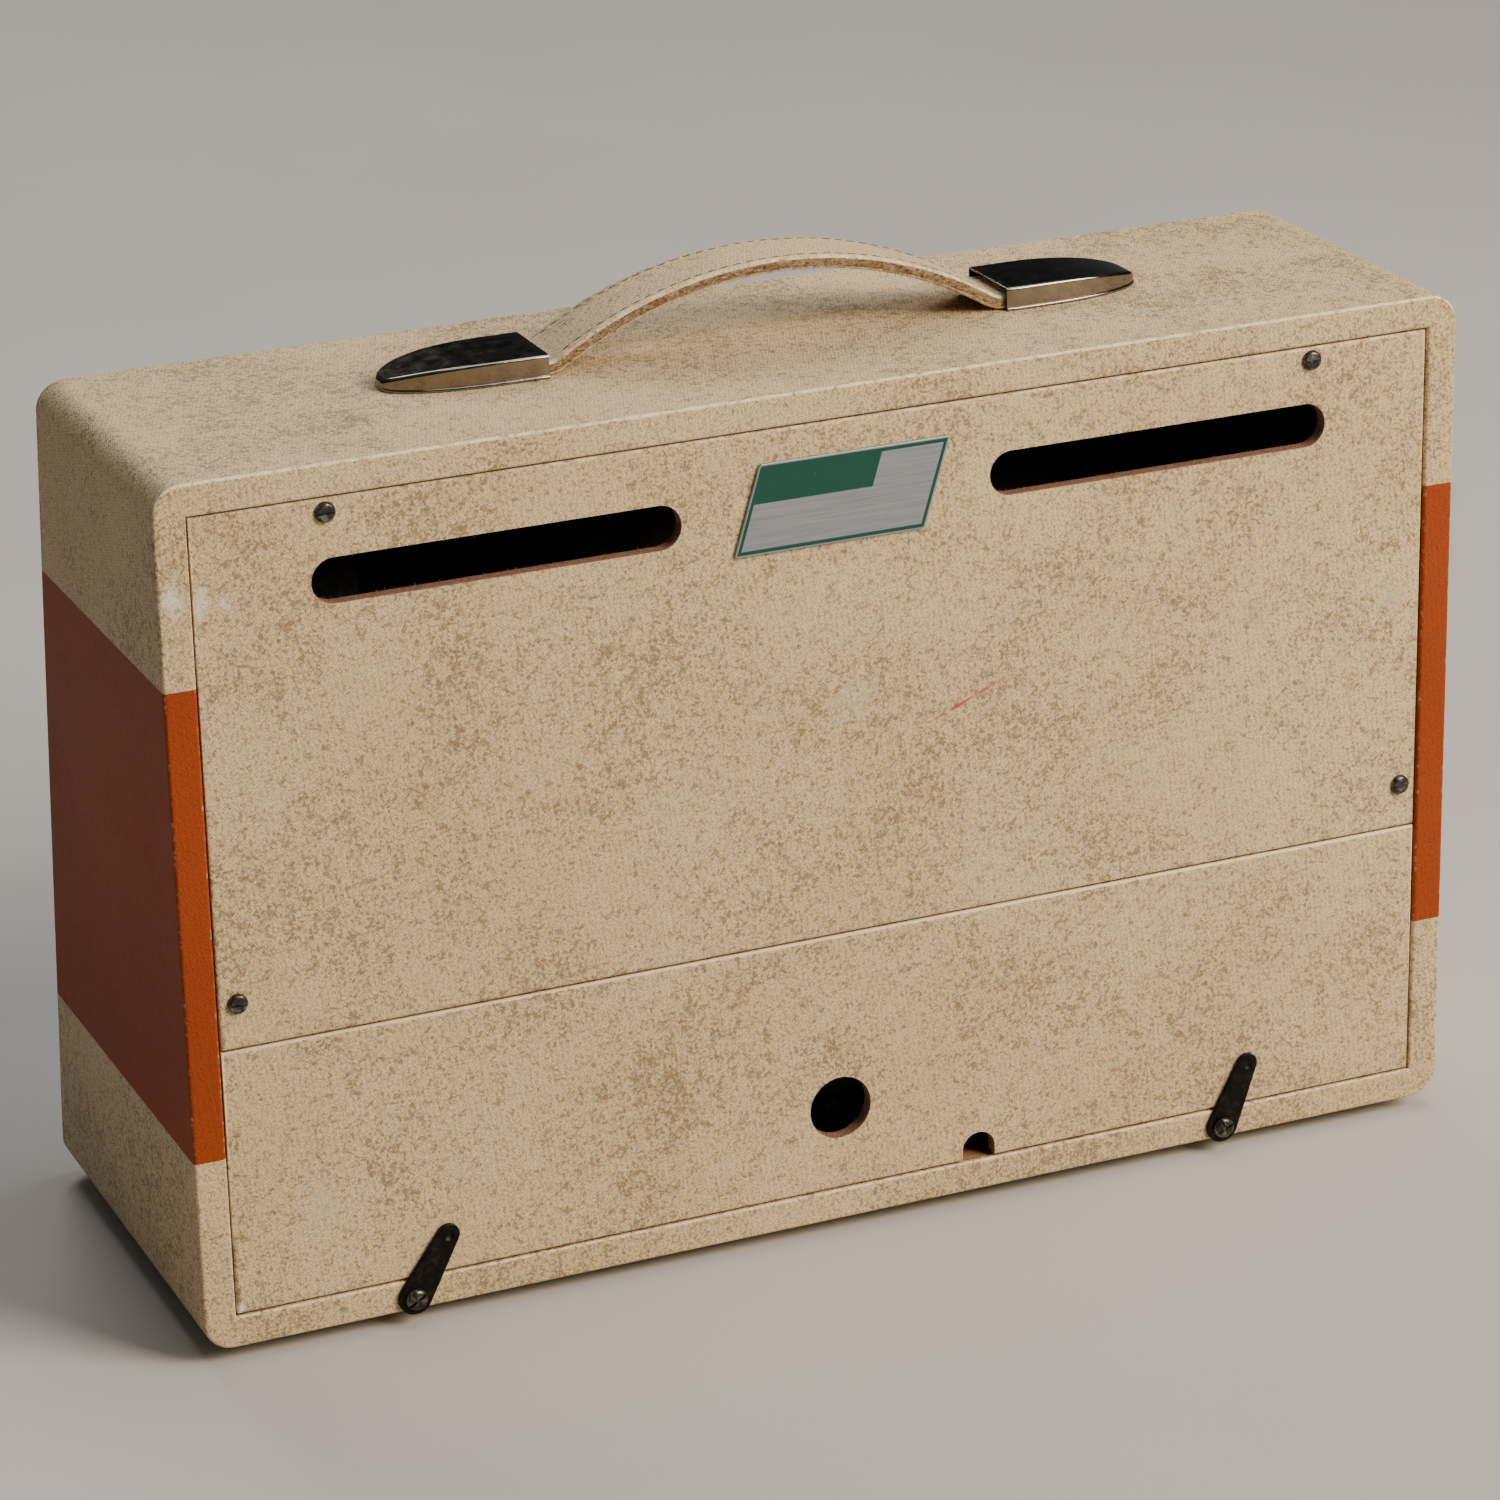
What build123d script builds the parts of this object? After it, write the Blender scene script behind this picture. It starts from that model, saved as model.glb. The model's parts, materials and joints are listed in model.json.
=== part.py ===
from build123d import *
import os
from math import atan, cos, degrees, radians, sin, tan

# A two-speaker valve guitar combo with a raked front, a two-part back and a strap handle.
# Millimetres. The floor is z = 0, the back faces +Y, the front faces -Y and x = 0 is the middle.
# Left and right are as seen from the front, so left is -X.
# Places on the front are given as x, t and n: t up the slope from the case's foot, n out of it.

# Case: boards with leathercloth over their outer faces and rims
WIDTH = 508.0
HEIGHT = 327.0            # the case alone, without feet and handle
DEPTH_BASE = 180.0
DEPTH_TOP = 138.0
BOARD = 12.0              # a board with its cloth
CLOTH = 0.8
CORNER_R = 11.0
RIM_R = 1.5               # rounding of the front and back rims
BAND_LOW = 75.0           # the coloured band on the sides, above the case's underside
BAND_DOWN = 74.0          # from the case's top to the band
GLUE_LEG = 14.0
GLUE_START = 0.0
GLUE_END = 58.0

# Back: two panels on battens, held by screws above and by turn buttons below
SPLIT_Z = 115.8           # the line between the panels, above the case's underside
PANEL_GAP = 0.8           # from a panel's edge to the case
SPLIT_GAP = 0.4           # from a panel's edge to the line between them
PANEL_BOARD = 5.0
PANEL_CLOTH = 0.6
PANEL_SUNK = 0.4          # from the rim's face to the panel's face
PANEL_EDGE_R = 1.4
BATTEN = 15.0
RAIL_H = 30.0
SLOT_LENGTH = 138.2
SLOT_H = 17.0
SLOT_X = 129.6
SLOT_DOWN = 42.8          # from the case's top
HOLE_R = 12.4
HOLE_X = 2.8
HOLE_Z = 45.8
NOTCH_W = 13.5
NOTCH_X = -54.3
NOTCH_TOP = 23.8
TOP_SCREW_X = 192.5
TOP_SCREW_IN = 5.6        # from the case's inner face to a screw, above and at the sides
SIDE_SCREW_IN = 7.7
SIDE_SCREW_UP = 17.9      # from the split
PLATE_W = 75.8
PLATE_H = 33.7
PLATE_LEAN = 10.5         # how far the top edge stands to the left of the bottom one
PLATE_X = -1.6
PLATE_DOWN = 41.4         # from the case's top
PLATE_T = 1.2
PLATE_R = 1.2

# Turn buttons on the lower rim: pivot x, lean from upright towards the left
BUTTONS = {"left": (-158.2, 23.3), "right": (174.2, 31.4)}
BUTTON_Z = 5.35
BUTTON_LONG = 26.5        # pivot to dimple
BUTTON_R = 6.5
BUTTON_TIP_R = 4.3
BUTTON_T = 1.5
BUTTON_OFF = 0.15         # running gap under the plate, and under the screw's head
BUTTON_FIT = 0.08         # radial clearance on the screw
DIMPLE_R = 3.0
DIMPLE_DEEP = 0.9

# Feet
FOOT_H = 6.0
FOOT_R = 9.0
FOOT_IN_X = 39.0          # from the case's side and ends to a foot's middle
FOOT_IN_Y = 30.0
FOOT_POCKET_R = 5.0
FOOT_POCKET = 2.5

# Handle: a strap between two pointed caps
HANDLE_X = -3.8
HANDLE_Y = 18.0
HANDLE_SPAN = 300.8
CAP_LENGTH = 59.4
CAP_WALL = 1.2            # beside the strap
CAP_OVER = 2.9            # above the strap
CAP_EDGE_R = 1.0
CAP_SHOULDER = 18.0       # from the mouth to where the cap starts to narrow
CAP_TIP_W = 3.0
CAP_TIP_H = 2.4
STRAP_W = 30.0
STRAP_T = 5.5
STRAP_EDGE_R = 2.0
STRAP_RISE = 32.0         # the strap's top above the case
STRAP_BEND_R = 12.0       # where it turns down into a cap
STRAP_TUCK = 23.0         # how far it reaches into a cap
STRAP_CLEAR = 0.3
BOLT_IN = 13.0            # from the cap's mouth to its bolt
CAP_BOLT_DEEP = 8.0

# Front: baffle, grille, beading and control panel, by depth n behind the front rim
BAFFLE_N = -10.0
BAFFLE_T = 10.0
FRONT_GAP = 1.0           # round the baffle and the control panel
SEAM_GAP = 0.2            # between the two
GRILLE_T = 0.6
BEAD_W = 6.0
BEAD_T = 5.0
CLEAT = 12.0
PANEL_HIGH = 70.8         # the control panel's top
PANEL_T = 2.0
CONTROL_T = 42.0          # the line of the controls
KNOBS = {"volume": -100.0, "tone": -42.0, "speed": 16.0, "depth": 74.0}
JACKS = (-208.0, -166.0)
LAMP_X = 142.0
TOGGLE_X = 196.0

# Controls
KNOB_PROUD = 9.0          # the knob's face in front of the rim
KNOB_R = 16.0
KNOB_SKIRT = 3.0
KNOB_BODY_R = 12.6
KNOB_TOP_R = 11.4
KNOB_FLUTES = 18
FLUTE_R = 1.1
KNOB_OFF = 0.4            # between the bushing's end and the knob
SHAFT_R = 3.0
SHAFT_FIT = 0.05
BUSH_WALL = 0.9
BUSH_OUT = 2.6            # how far a bushing stands out of the control panel
NUT_T = 2.0
NUT_WALL = 2.5            # from a nut's thread to its corners
POT_R = 12.0
POT_T = 10.0
HOLE_FIT = 0.1
JACK_BORE_R = 3.2
JACK_WALL = 1.5
JACK_LENGTH = 31.0
JACK_BODY_W = 18.0
TOGGLE_BORE_R = 3.0
TOGGLE_WALL = 1.2
TOGGLE_W = 14.0
TOGGLE_L = 28.0
TOGGLE_DEEP = 18.0
TOGGLE_OUT = 6.0
LEVER_R = 1.2
LEVER_TIP_R = 2.2
LEVER_FIT = 0.3           # round the lever's ball
LEVER_LONG = 16.5
LEVER_TILT = 12.0
LAMP_BORE_R = 5.0
LAMP_WALL = 1.0
LAMP_RIM = 2.0            # the rim beyond the wall
LAMP_DEEP = 22.0
LAMP_DOME = 4.5

# Chassis: a folded steel channel behind the control panel
SHEET = 1.5
CHASSIS_W = 444.0
DECK_Z = 69.0
CHASSIS_REAR = 12.0
FLANGE = 18.0
CHASSIS_BOLTS = (-196.0, -22.0, 196.0)
BOLT_SINK = 9.0           # how far a chassis bolt reaches into the bottom board

# On the deck
VALVES = (-115.0, -85.0, -48.0, 48.0, 85.0, 115.0)
VALVE_TALL = (48.0, 48.0, 48.0, 60.0, 60.0, 48.0)
VALVE_Y = -4.0
VALVE_R = 10.6
HOLDER_RIM = 1.9          # the holder beyond the valve
HOLDER_H = 5.0
HOLDER_BASE_R = 9.0
HOLDER_BASE_H = 9.0
CAN_R = 17.5
CAN_H = 62.0
CAN_Y = -30.0
CORE_W = 60.0
CORE_D = 22.0
CORE_H = 50.0
CORE_LIMB = 9.0
COIL_D = 44.0
MAINS_X = 185.0
MAINS_Y = -14.0
OUTPUT_SCALE = 0.85
BOARD_L = 200.0
BOARD_D = 30.0
BOARD_T = 1.6
BOARD_Y = -24.0
STAND_R = 3.0
STAND_H = 9.0
PART_R = 5.0
PART_L = 24.0
PART_COUNT = 7

# Loudspeakers, by radius and by depth n behind the front rim
SPEAKERS = {"left": -118.0, "right": 118.0}
SPEAKER_T = 195.0
SPEAKER_R = 102.5
BAFFLE_HOLE_R = 88.0
FRAME_STEP = 2.0          # the frame's opening beyond the baffle's
FRAME_T = 1.5
BASKET_R = 93.0
BASKET_BACK_R = 46.0
BASKET_DEEP = 52.0
BASKET_WALL = 1.3
WINDOWS = 4
WINDOW_W = 62.0
WINDOW_START = 8.0
WINDOW_END = 44.0
MAGNET_R = 33.0
MAGNET_T = 30.0
POLE_R = 12.7
COIL_GAP = 0.5            # round the pole, and outside the coil
COIL_T = 0.6
COIL_LONG = 22.0
AIR_DEEP = 15.0
CONE_R = 84.0
CONE_T = 0.8
CONE_DEEP = 40.0
DOME_R = 21.0
DOME_H = 7.0
RING_GAP = 0.3            # from the moving parts to the rings that centre them
SURROUND_T = 1.0
SPIDER_T = 0.8
SPIDER_BEHIND = 2.8       # from the cone's neck to the spider
SPEAKER_BOLT_IN = 5.5     # from the frame's rim
SPEAKER_BOLTS = 4
SPEAKER_BOLT_SINK = 8.0

# Fasteners: shank radius, head radius, head height
WOOD_SCREW = (1.75, 3.8, 1.9)
BUTTON_SCREW = (2.0, 4.2, 2.3)
FOOT_SCREW = (2.0, 4.2, 1.6)
HANDLE_BOLT = (2.5, 5.0, 3.0)
CHASSIS_BOLT = (2.2, 4.6, 3.2)
SPEAKER_BOLT = (2.0, 4.0, 2.6)
SCREW_FIT = 0.1
SCREW_LONG = 18.0
DRIVE_W = 1.0             # the slot or cross in a head

REACH = 900.0             # longer than anything here, for cutting blocks
REAR = DEPTH_BASE / 2
BASE = FOOT_H
TOP = FOOT_H + HEIGHT
RAKE = atan((DEPTH_BASE - DEPTH_TOP) / HEIGHT)
FRONT = Plane(origin=(0, -DEPTH_BASE / 2, BASE), x_dir=(1, 0, 0), z_dir=(0, -cos(RAKE), sin(RAKE)))
INNER_X = WIDTH / 2 - BOARD
FLOOR_Z = BASE + BOARD
CEILING_Z = TOP - BOARD
PANEL_FACE = REAR - PANEL_SUNK
BATTEN_FACE = PANEL_FACE - PANEL_BOARD - PANEL_CLOTH
PANEL_BACK_N = BAFFLE_N - PANEL_T
WALL_BACK_N = PANEL_BACK_N - SHEET
BAFFLE_BACK_N = BAFFLE_N - BAFFLE_T
BAFFLE_LOW = PANEL_HIGH + SEAM_GAP
BAFFLE_HIGH = (HEIGHT - BOARD) / cos(RAKE) - FRONT_GAP
PANEL_LOW = BOARD / cos(RAKE) - PANEL_BACK_N * tan(RAKE) + FRONT_GAP
MOUTH_X = HANDLE_SPAN / 2 - CAP_LENGTH
STRAP_LOW = STRAP_CLEAR + STRAP_T / 2
CAP_W = STRAP_W + 2 * (STRAP_CLEAR + CAP_WALL)
CAP_H = STRAP_T + 2 * STRAP_CLEAR + CAP_OVER
BUSH_R = SHAFT_R + BUSH_WALL
JACK_BUSH_R = JACK_BORE_R + JACK_WALL
TOGGLE_BUSH_R = TOGGLE_BORE_R + TOGGLE_WALL
LEVER_BALL_R = TOGGLE_BORE_R - LEVER_FIT
LAMP_R = LAMP_BORE_R + LAMP_WALL
HOLDER_R = VALVE_R + HOLDER_RIM
FRAME_IN_R = BAFFLE_HOLE_R + FRAME_STEP
COIL_IN_R = POLE_R + COIL_GAP
COIL_OUT_R = COIL_IN_R + COIL_T
AIR_R = COIL_OUT_R + COIL_GAP
SPEAKER_BOLT_PCR = SPEAKER_R - SPEAKER_BOLT_IN


# ---------------------------------------------------------------- placing and cutting

def front_y(z, n):
    """y of the plane at depth n of the front, at height z."""
    return -DEPTH_BASE / 2 + (z - BASE) * tan(RAKE) - n / cos(RAKE)


def on_front(shape, x, t, n):
    """Stand a shape on the front, its +Z along the front's outward normal."""
    return FRONT.location * Pos(x, t, n) * shape


def on_back(shape, x, y, z):
    """Stand a shape on the back, its +Z along +Y and its +Y upwards."""
    return Plane(origin=(x, y, z), x_dir=(-1, 0, 0), z_dir=(0, 1, 0)).location * shape


def block(x, y, z):
    """A block from its low and high limits along each axis."""
    size = [high - low for low, high in (x, y, z)]
    middle = [(high + low) / 2 for low, high in (x, y, z)]
    return Pos(*middle) * Box(*size)


def front_block(x, t, n):
    """A block given by its limits in the front's own axes."""
    return FRONT.location * block(x, t, n)


def rod(radius, low, high):
    """A round bar along Z between two heights."""
    return Pos(0, 0, (low + high) / 2) * Cylinder(radius, high - low)


def ring(outer, inner, low, high):
    """A tube along Z between two heights."""
    return rod(outer, low, high) - rod(inner, low, high)


def hexagon(radius, low, high):
    """A six-sided bar along Z between two heights."""
    return extrude(Pos(0, 0, low) * RegularPolygon(radius, 6), amount=high - low)


def pan_screw(size, length, slots=1):
    """A screw that stands on z = 0: rounded head above, shank below, one slot or a cross."""
    shank_r, head_r, head_h = size
    head = rod(head_r, 0, head_h)
    head = fillet(head.edges().group_by(Axis.Z)[-1], head_h * 0.8)
    for turn in range(slots):
        head -= Rot(0, 0, 90 * turn) * Pos(0, 0, head_h) * Box(2 * head_r, DRIVE_W, head_h)
    return head + rod(shank_r, -length, 0)


def hex_bolt(size, length):
    """A bolt that stands on z = 0: six-sided head above, shank below."""
    shank_r, head_r, head_h = size
    return hexagon(head_r, 0, head_h) + rod(shank_r, -length, 0)


def drill(size, length):
    """The hole that a screw's shank goes through, along Z either way from z = 0."""
    return rod(size[0] + SCREW_FIT, -length, length)


def save(node, shape):
    """Write one node, a solid or a list of separate solids."""
    solids = shape if isinstance(shape, list) else [shape]
    whole = Compound(children=[s for part in solids for s in part.solids()])
    export_step(whole, f"parts/{node}.step")


# ---------------------------------------------------------------- places that several pieces share

def screw_places():
    """Where the back panels' screws stand, as x and z."""
    high = [(side * TOP_SCREW_X, CEILING_Z - TOP_SCREW_IN) for side in (-1, 1)]
    side_x = INNER_X - SIDE_SCREW_IN
    low = [(side * side_x, BASE + SPLIT_Z + SIDE_SCREW_UP) for side in (-1, 1)]
    return high + low


def foot_places():
    x = WIDTH / 2 - FOOT_IN_X
    y = REAR - FOOT_IN_Y
    return [(sx * x, sy * y) for sx in (-1, 1) for sy in (-1, 1)]


def handle_bolt_places():
    return [HANDLE_X + side * (MOUTH_X + BOLT_IN) for side in (-1, 1)]


def case_drilling():
    """Every screw hole in the case's boards and in their cloth."""
    holes = [Pos(x, y, 0) * drill(FOOT_SCREW, FLOOR_Z - 2) for x, y in foot_places()]
    holes += [Pos(x, HANDLE_Y, TOP) * drill(HANDLE_BOLT, HEIGHT / 2) for x in handle_bolt_places()]
    for x, _ in BUTTONS.values():
        holes.append(on_back(drill(BUTTON_SCREW, SCREW_LONG), x, REAR, BASE + BUTTON_Z))
    for x in CHASSIS_BOLTS:
        holes.append(Pos(x, CHASSIS_REAR + FLANGE / 2, FLOOR_Z) * drill(CHASSIS_BOLT, BOLT_SINK))
    return holes


# ---------------------------------------------------------------- case

def case_block(inset, radius, front_in, rear_in):
    """The case's outline drawn in all round, from its raked front to its upright back."""
    wide = WIDTH - 2 * inset
    high = HEIGHT - 2 * inset
    outline = RectangleRounded(wide, high, radius) if radius else Rectangle(wide, high)
    start = Plane(origin=(0, REAR - rear_in, BASE + HEIGHT / 2), x_dir=(1, 0, 0), z_dir=(0, -1, 0))
    body = extrude(start.location * outline, amount=DEPTH_BASE - front_in - rear_in)
    return body - front_block((-REACH, REACH), (-REACH, REACH), (-front_in, REACH))


def case_parts():
    core = case_block(CLOTH, CORNER_R - CLOTH, CLOTH, CLOTH)
    hollow = case_block(BOARD, 0, -BOARD, -BOARD)
    holes = case_drilling()
    boards = core - hollow - holes
    deep = (-REACH, REACH)
    for name, side in (("left", (-REACH, -INNER_X)), ("right", (INNER_X, REACH))):
        save(f"case_side_{name}", boards & block(side, deep, deep))
    across = (-INNER_X, INNER_X)
    save("case_top", boards & block(across, deep, (CEILING_Z, REACH)))
    save("case_bottom", boards & block(across, deep, (-REACH, FLOOR_Z)))
    case_cloth(core + hollow, holes)


def case_cloth(inside, holes):
    """The leathercloth: one colour above and below, another in a band round each side."""
    outer = case_block(0, CORNER_R, 0, 0)
    outer = fillet(outer.faces().sort_by(Axis.Y)[-1].edges(), RIM_R)
    cloth = outer - inside - holes
    everywhere = (-REACH, REACH)
    low = BASE + BAND_LOW
    high = TOP - BAND_DOWN
    save("cover_lower", cloth & block(everywhere, everywhere, (-REACH, low)))
    save("cover_upper", cloth & block(everywhere, everywhere, (high, REACH)))
    for name, side in (("left", (-REACH, 0)), ("right", (0, REACH))):
        save(f"cover_band_{name}", cloth & block(side, everywhere, (low, high)))


def glue_blocks():
    """Three-cornered blocks glued into the four corners of the case."""
    blocks = []
    for side in (-1, 1):
        for z, up in ((FLOOR_Z, 1), (CEILING_Z, -1)):
            x = side * INNER_X
            corner = Polyline((x, z), (x - side * GLUE_LEG, z), (x, z + up * GLUE_LEG), close=True)
            start = Plane(origin=(0, GLUE_END, 0), x_dir=(1, 0, 0), z_dir=(0, -1, 0))
            blocks.append(extrude(start.location * make_face(corner), amount=GLUE_END - GLUE_START))
    save("glue_blocks", blocks)


# ---------------------------------------------------------------- back

def back_cuts():
    """The vent slots, the finger hole and the lead's notch, as bars through the back."""
    through = 4 * BATTEN
    start = Pos(0, 0, -through / 2)
    slot = extrude(start * SlotOverall(SLOT_LENGTH, SLOT_H), amount=through)
    cuts = [on_back(slot, side * SLOT_X, REAR, TOP - SLOT_DOWN) for side in (-1, 1)]
    cuts.append(on_back(rod(HOLE_R, -through / 2, through / 2), HOLE_X, REAR, BASE + HOLE_Z))
    arch_z = BASE + NOTCH_TOP - NOTCH_W / 2
    cuts.append(on_back(rod(NOTCH_W / 2, -through / 2, through / 2), NOTCH_X, REAR, arch_z))
    notch_x = (NOTCH_X - NOTCH_W / 2, NOTCH_X + NOTCH_W / 2)
    cuts.append(block(notch_x, (REAR - through / 2, REAR + through / 2), (BASE, arch_z)))
    return cuts


def back_screw_holes(length):
    return [on_back(drill(WOOD_SCREW, length), x, PANEL_FACE, z) for x, z in screw_places()]


def back_panel(name, low, high):
    """A thin board with cloth over its face and round its edges."""
    edge = INNER_X - PANEL_GAP
    outer = block((-edge, edge), (BATTEN_FACE, PANEL_FACE), (low, high))
    outer = fillet(outer.faces().sort_by(Axis.Y)[-1].edges(), PANEL_EDGE_R)
    inner = edge - PANEL_CLOTH
    board = block((-inner, inner), (BATTEN_FACE, PANEL_FACE - PANEL_CLOTH),
                  (low + PANEL_CLOTH, high - PANEL_CLOTH))
    cuts = back_cuts() + back_screw_holes(SCREW_LONG)
    save(f"back_cover_{name}", outer - board - cuts)
    save(f"back_panel_{name}", board - cuts)


def back_parts():
    split = BASE + SPLIT_Z
    back_panel("lower", FLOOR_Z + PANEL_GAP, split - SPLIT_GAP)
    back_panel("upper", split + SPLIT_GAP, CEILING_Z - PANEL_GAP)
    deep = (BATTEN_FACE - BATTEN, BATTEN_FACE)
    holes = back_screw_holes(SCREW_LONG)
    inside = INNER_X - BATTEN
    battens = [block((-INNER_X, INNER_X), deep, (CEILING_Z - BATTEN, CEILING_Z))]
    battens += [block(side, deep, (FLOOR_Z, CEILING_Z - BATTEN))
                for side in ((-INNER_X, -inside), (inside, INNER_X))]
    save("rear_battens", [batten - holes for batten in battens])
    save("mid_rail", block((-inside, inside), deep, (split - RAIL_H / 2, split + RAIL_H / 2)))
    screw = pan_screw(WOOD_SCREW, SCREW_LONG - SCREW_FIT)
    save("back_panel_screws", [on_back(screw, x, PANEL_FACE, z) for x, z in screw_places()])


def blank_plate():
    """A plain leaning plate on the upper panel."""
    half, lean, high = PLATE_W / 2, PLATE_LEAN / 2, PLATE_H / 2
    corners = Polyline((-half - lean, -high), (half - lean, -high), (half + lean, high),
                       (-half + lean, high), close=True)
    face = fillet(make_face(corners).vertices(), PLATE_R)
    plate = extrude(face, amount=PLATE_T)
    save("blank_plate", on_back(plate, PLATE_X, PANEL_FACE, TOP - PLATE_DOWN))


def turn_button():
    """The plate about its pivot, pointing up: wide at the screw, narrow at the dimpled tip."""
    tip = Pos(0, BUTTON_LONG)
    outline = make_hull(Circle(BUTTON_R).edges() + (tip * Circle(BUTTON_TIP_R)).edges())
    plate = extrude(outline, amount=BUTTON_T)
    plate = chamfer(plate.edges().group_by(Axis.Z)[-1], BUTTON_T / 5)
    dent = Pos(0, BUTTON_LONG, BUTTON_T + DIMPLE_R - DIMPLE_DEEP) * Sphere(DIMPLE_R)
    return plate - dent - rod(BUTTON_SCREW[0] + BUTTON_FIT, 0, BUTTON_T)


def turn_buttons():
    screws = []
    head_y = REAR + 2 * BUTTON_OFF + BUTTON_T
    screw = pan_screw(BUTTON_SCREW, SCREW_LONG, slots=2)
    for name, (x, lean) in BUTTONS.items():
        plate = Rot(0, 0, -lean) * turn_button()
        save(f"turn_button_{name}", on_back(plate, x, REAR + BUTTON_OFF, BASE + BUTTON_Z))
        screws.append(on_back(Rot(0, 0, lean) * screw, x, head_y, BASE + BUTTON_Z))
    save("turn_button_screws", screws)


# ---------------------------------------------------------------- feet and handle

def feet():
    foot = rod(FOOT_R, 0, FOOT_H) - rod(FOOT_POCKET_R, 0, FOOT_POCKET) - drill(FOOT_SCREW, FOOT_H)
    foot = chamfer(foot.edges().filter_by(GeomType.CIRCLE).group_by(Axis.Z)[0].sort_by(
        SortBy.RADIUS)[-1], FOOT_H / 6)
    screw = Pos(0, 0, FOOT_POCKET) * Rot(180, 0, 0) * pan_screw(FOOT_SCREW, BOARD)
    save("feet", [Pos(x, y, 0) * foot for x, y in foot_places()])
    save("foot_screws", [Pos(x, y, 0) * screw for x, y in foot_places()])


def cap_solid():
    """A handle cap from its mouth at x = 0 to its point: its plan and side outlines crossed."""
    half = CAP_W / 2
    tip = CAP_TIP_W / 2
    upper = Line((0, half), (CAP_SHOULDER, half))
    curve = TangentArc((CAP_SHOULDER, half), (CAP_LENGTH, tip), tangent=(1, 0))
    blunt = Line((CAP_LENGTH, tip), (CAP_LENGTH, 0))
    quarter = make_face([Line((0, 0), (0, half)), upper, curve, blunt, Line((CAP_LENGTH, 0), (0, 0))])
    plan = extrude(quarter + mirror(quarter, Plane.XZ), amount=CAP_H)
    ridge = TangentArc((CAP_SHOULDER, CAP_H), (CAP_LENGTH, CAP_TIP_H), tangent=(1, 0))
    side = make_face([Line((0, 0), (0, CAP_H)), Line((0, CAP_H), (CAP_SHOULDER, CAP_H)), ridge,
                      Line((CAP_LENGTH, CAP_TIP_H), (CAP_LENGTH, 0)), Line((CAP_LENGTH, 0), (0, 0))])
    along = extrude(Plane.XZ.location * side, amount=half, both=True)
    cap = plan & along
    rims = [e for e in cap.edges() if abs(e.tangent_at(0.5).X) > 0.5 and e.center().Z > CAP_TIP_H]
    return fillet(rims, CAP_EDGE_R)


def handle_cap():
    """The cap with the pocket that its strap and bolt go into."""
    gap = STRAP_CLEAR
    pocket = RectangleRounded(STRAP_W + 2 * gap, 2 * (STRAP_T + 2 * gap), STRAP_EDGE_R + gap)
    pocket = extrude(Plane.YZ.location * pocket, amount=STRAP_TUCK + gap)
    return cap_solid() - pocket - Pos(BOLT_IN, 0, 0) * drill(HANDLE_BOLT, CAP_BOLT_DEEP)


def strap_path():
    """The strap's middle line above the case: flat in each cap, bent up, then one long arch."""
    rise = STRAP_RISE - STRAP_T / 2 - STRAP_LOW
    turn = 2 * atan(rise / MOUTH_X)
    arch_r = MOUTH_X / sin(turn) - STRAP_BEND_R
    crown = (0, STRAP_LOW + rise)
    knee = (arch_r * sin(turn), STRAP_LOW + rise - arch_r * (1 - cos(turn)))
    mouth = (MOUTH_X, STRAP_LOW)
    end = (MOUTH_X + STRAP_TUCK, STRAP_LOW)
    arch = ThreePointArc((-knee[0], knee[1]), crown, knee)
    bend = TangentArc(mouth, knee, tangent=(-1, 0))
    left = [Line((-end[0], end[1]), (-mouth[0], mouth[1])), mirror(bend, Plane.YZ)]
    return Wire(left[0].edges() + left[1].edges() + arch.edges() + bend.edges()
                + Line(mouth, end).edges())


def handle():
    place = Pos(HANDLE_X, HANDLE_Y, TOP)
    path = Plane.XZ.location * strap_path()
    end = Plane(origin=path @ 0, x_dir=(0, 1, 0), z_dir=path % 0)
    strap = sweep(end.location * RectangleRounded(STRAP_W, STRAP_T, STRAP_EDGE_R), path=path)
    for side in (-1, 1):
        strap -= Pos(side * (MOUTH_X + BOLT_IN), 0, 0) * drill(HANDLE_BOLT, CAP_H)
    save("handle_strap", place * strap)
    cap = handle_cap()
    save("handle_cap_right", place * Pos(MOUTH_X, 0, 0) * cap)
    save("handle_cap_left", place * Rot(0, 0, 180) * Pos(MOUTH_X, 0, 0) * cap)
    reach = BOARD + CAP_BOLT_DEEP - SCREW_FIT
    bolt = Pos(0, HANDLE_Y, CEILING_Z) * Rot(180, 0, 0) * pan_screw(HANDLE_BOLT, reach, slots=2)
    save("handle_bolts", [Pos(x, 0, 0) * bolt for x in handle_bolt_places()])


# ---------------------------------------------------------------- front

def control_holes(low, high):
    """The holes that the controls' bushings go through, in the front's axes."""
    sizes = [(x, BUSH_R) for x in KNOBS.values()] + [(x, JACK_BUSH_R) for x in JACKS]
    sizes += [(TOGGLE_X, TOGGLE_BUSH_R), (LAMP_X, LAMP_R)]
    return [on_front(rod(radius + HOLE_FIT, low, high), x, CONTROL_T, 0) for x, radius in sizes]


def speaker_bolt_turns():
    return [360 / SPEAKER_BOLTS * (turn + 0.5) for turn in range(SPEAKER_BOLTS)]


def speaker_bolt_holes():
    """The bolts' holes round one speaker, about its axis."""
    hole = Pos(SPEAKER_BOLT_PCR, 0, BAFFLE_BACK_N) * drill(SPEAKER_BOLT, SPEAKER_BOLT_SINK)
    return [Rot(0, 0, turn) * hole for turn in speaker_bolt_turns()]


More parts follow.
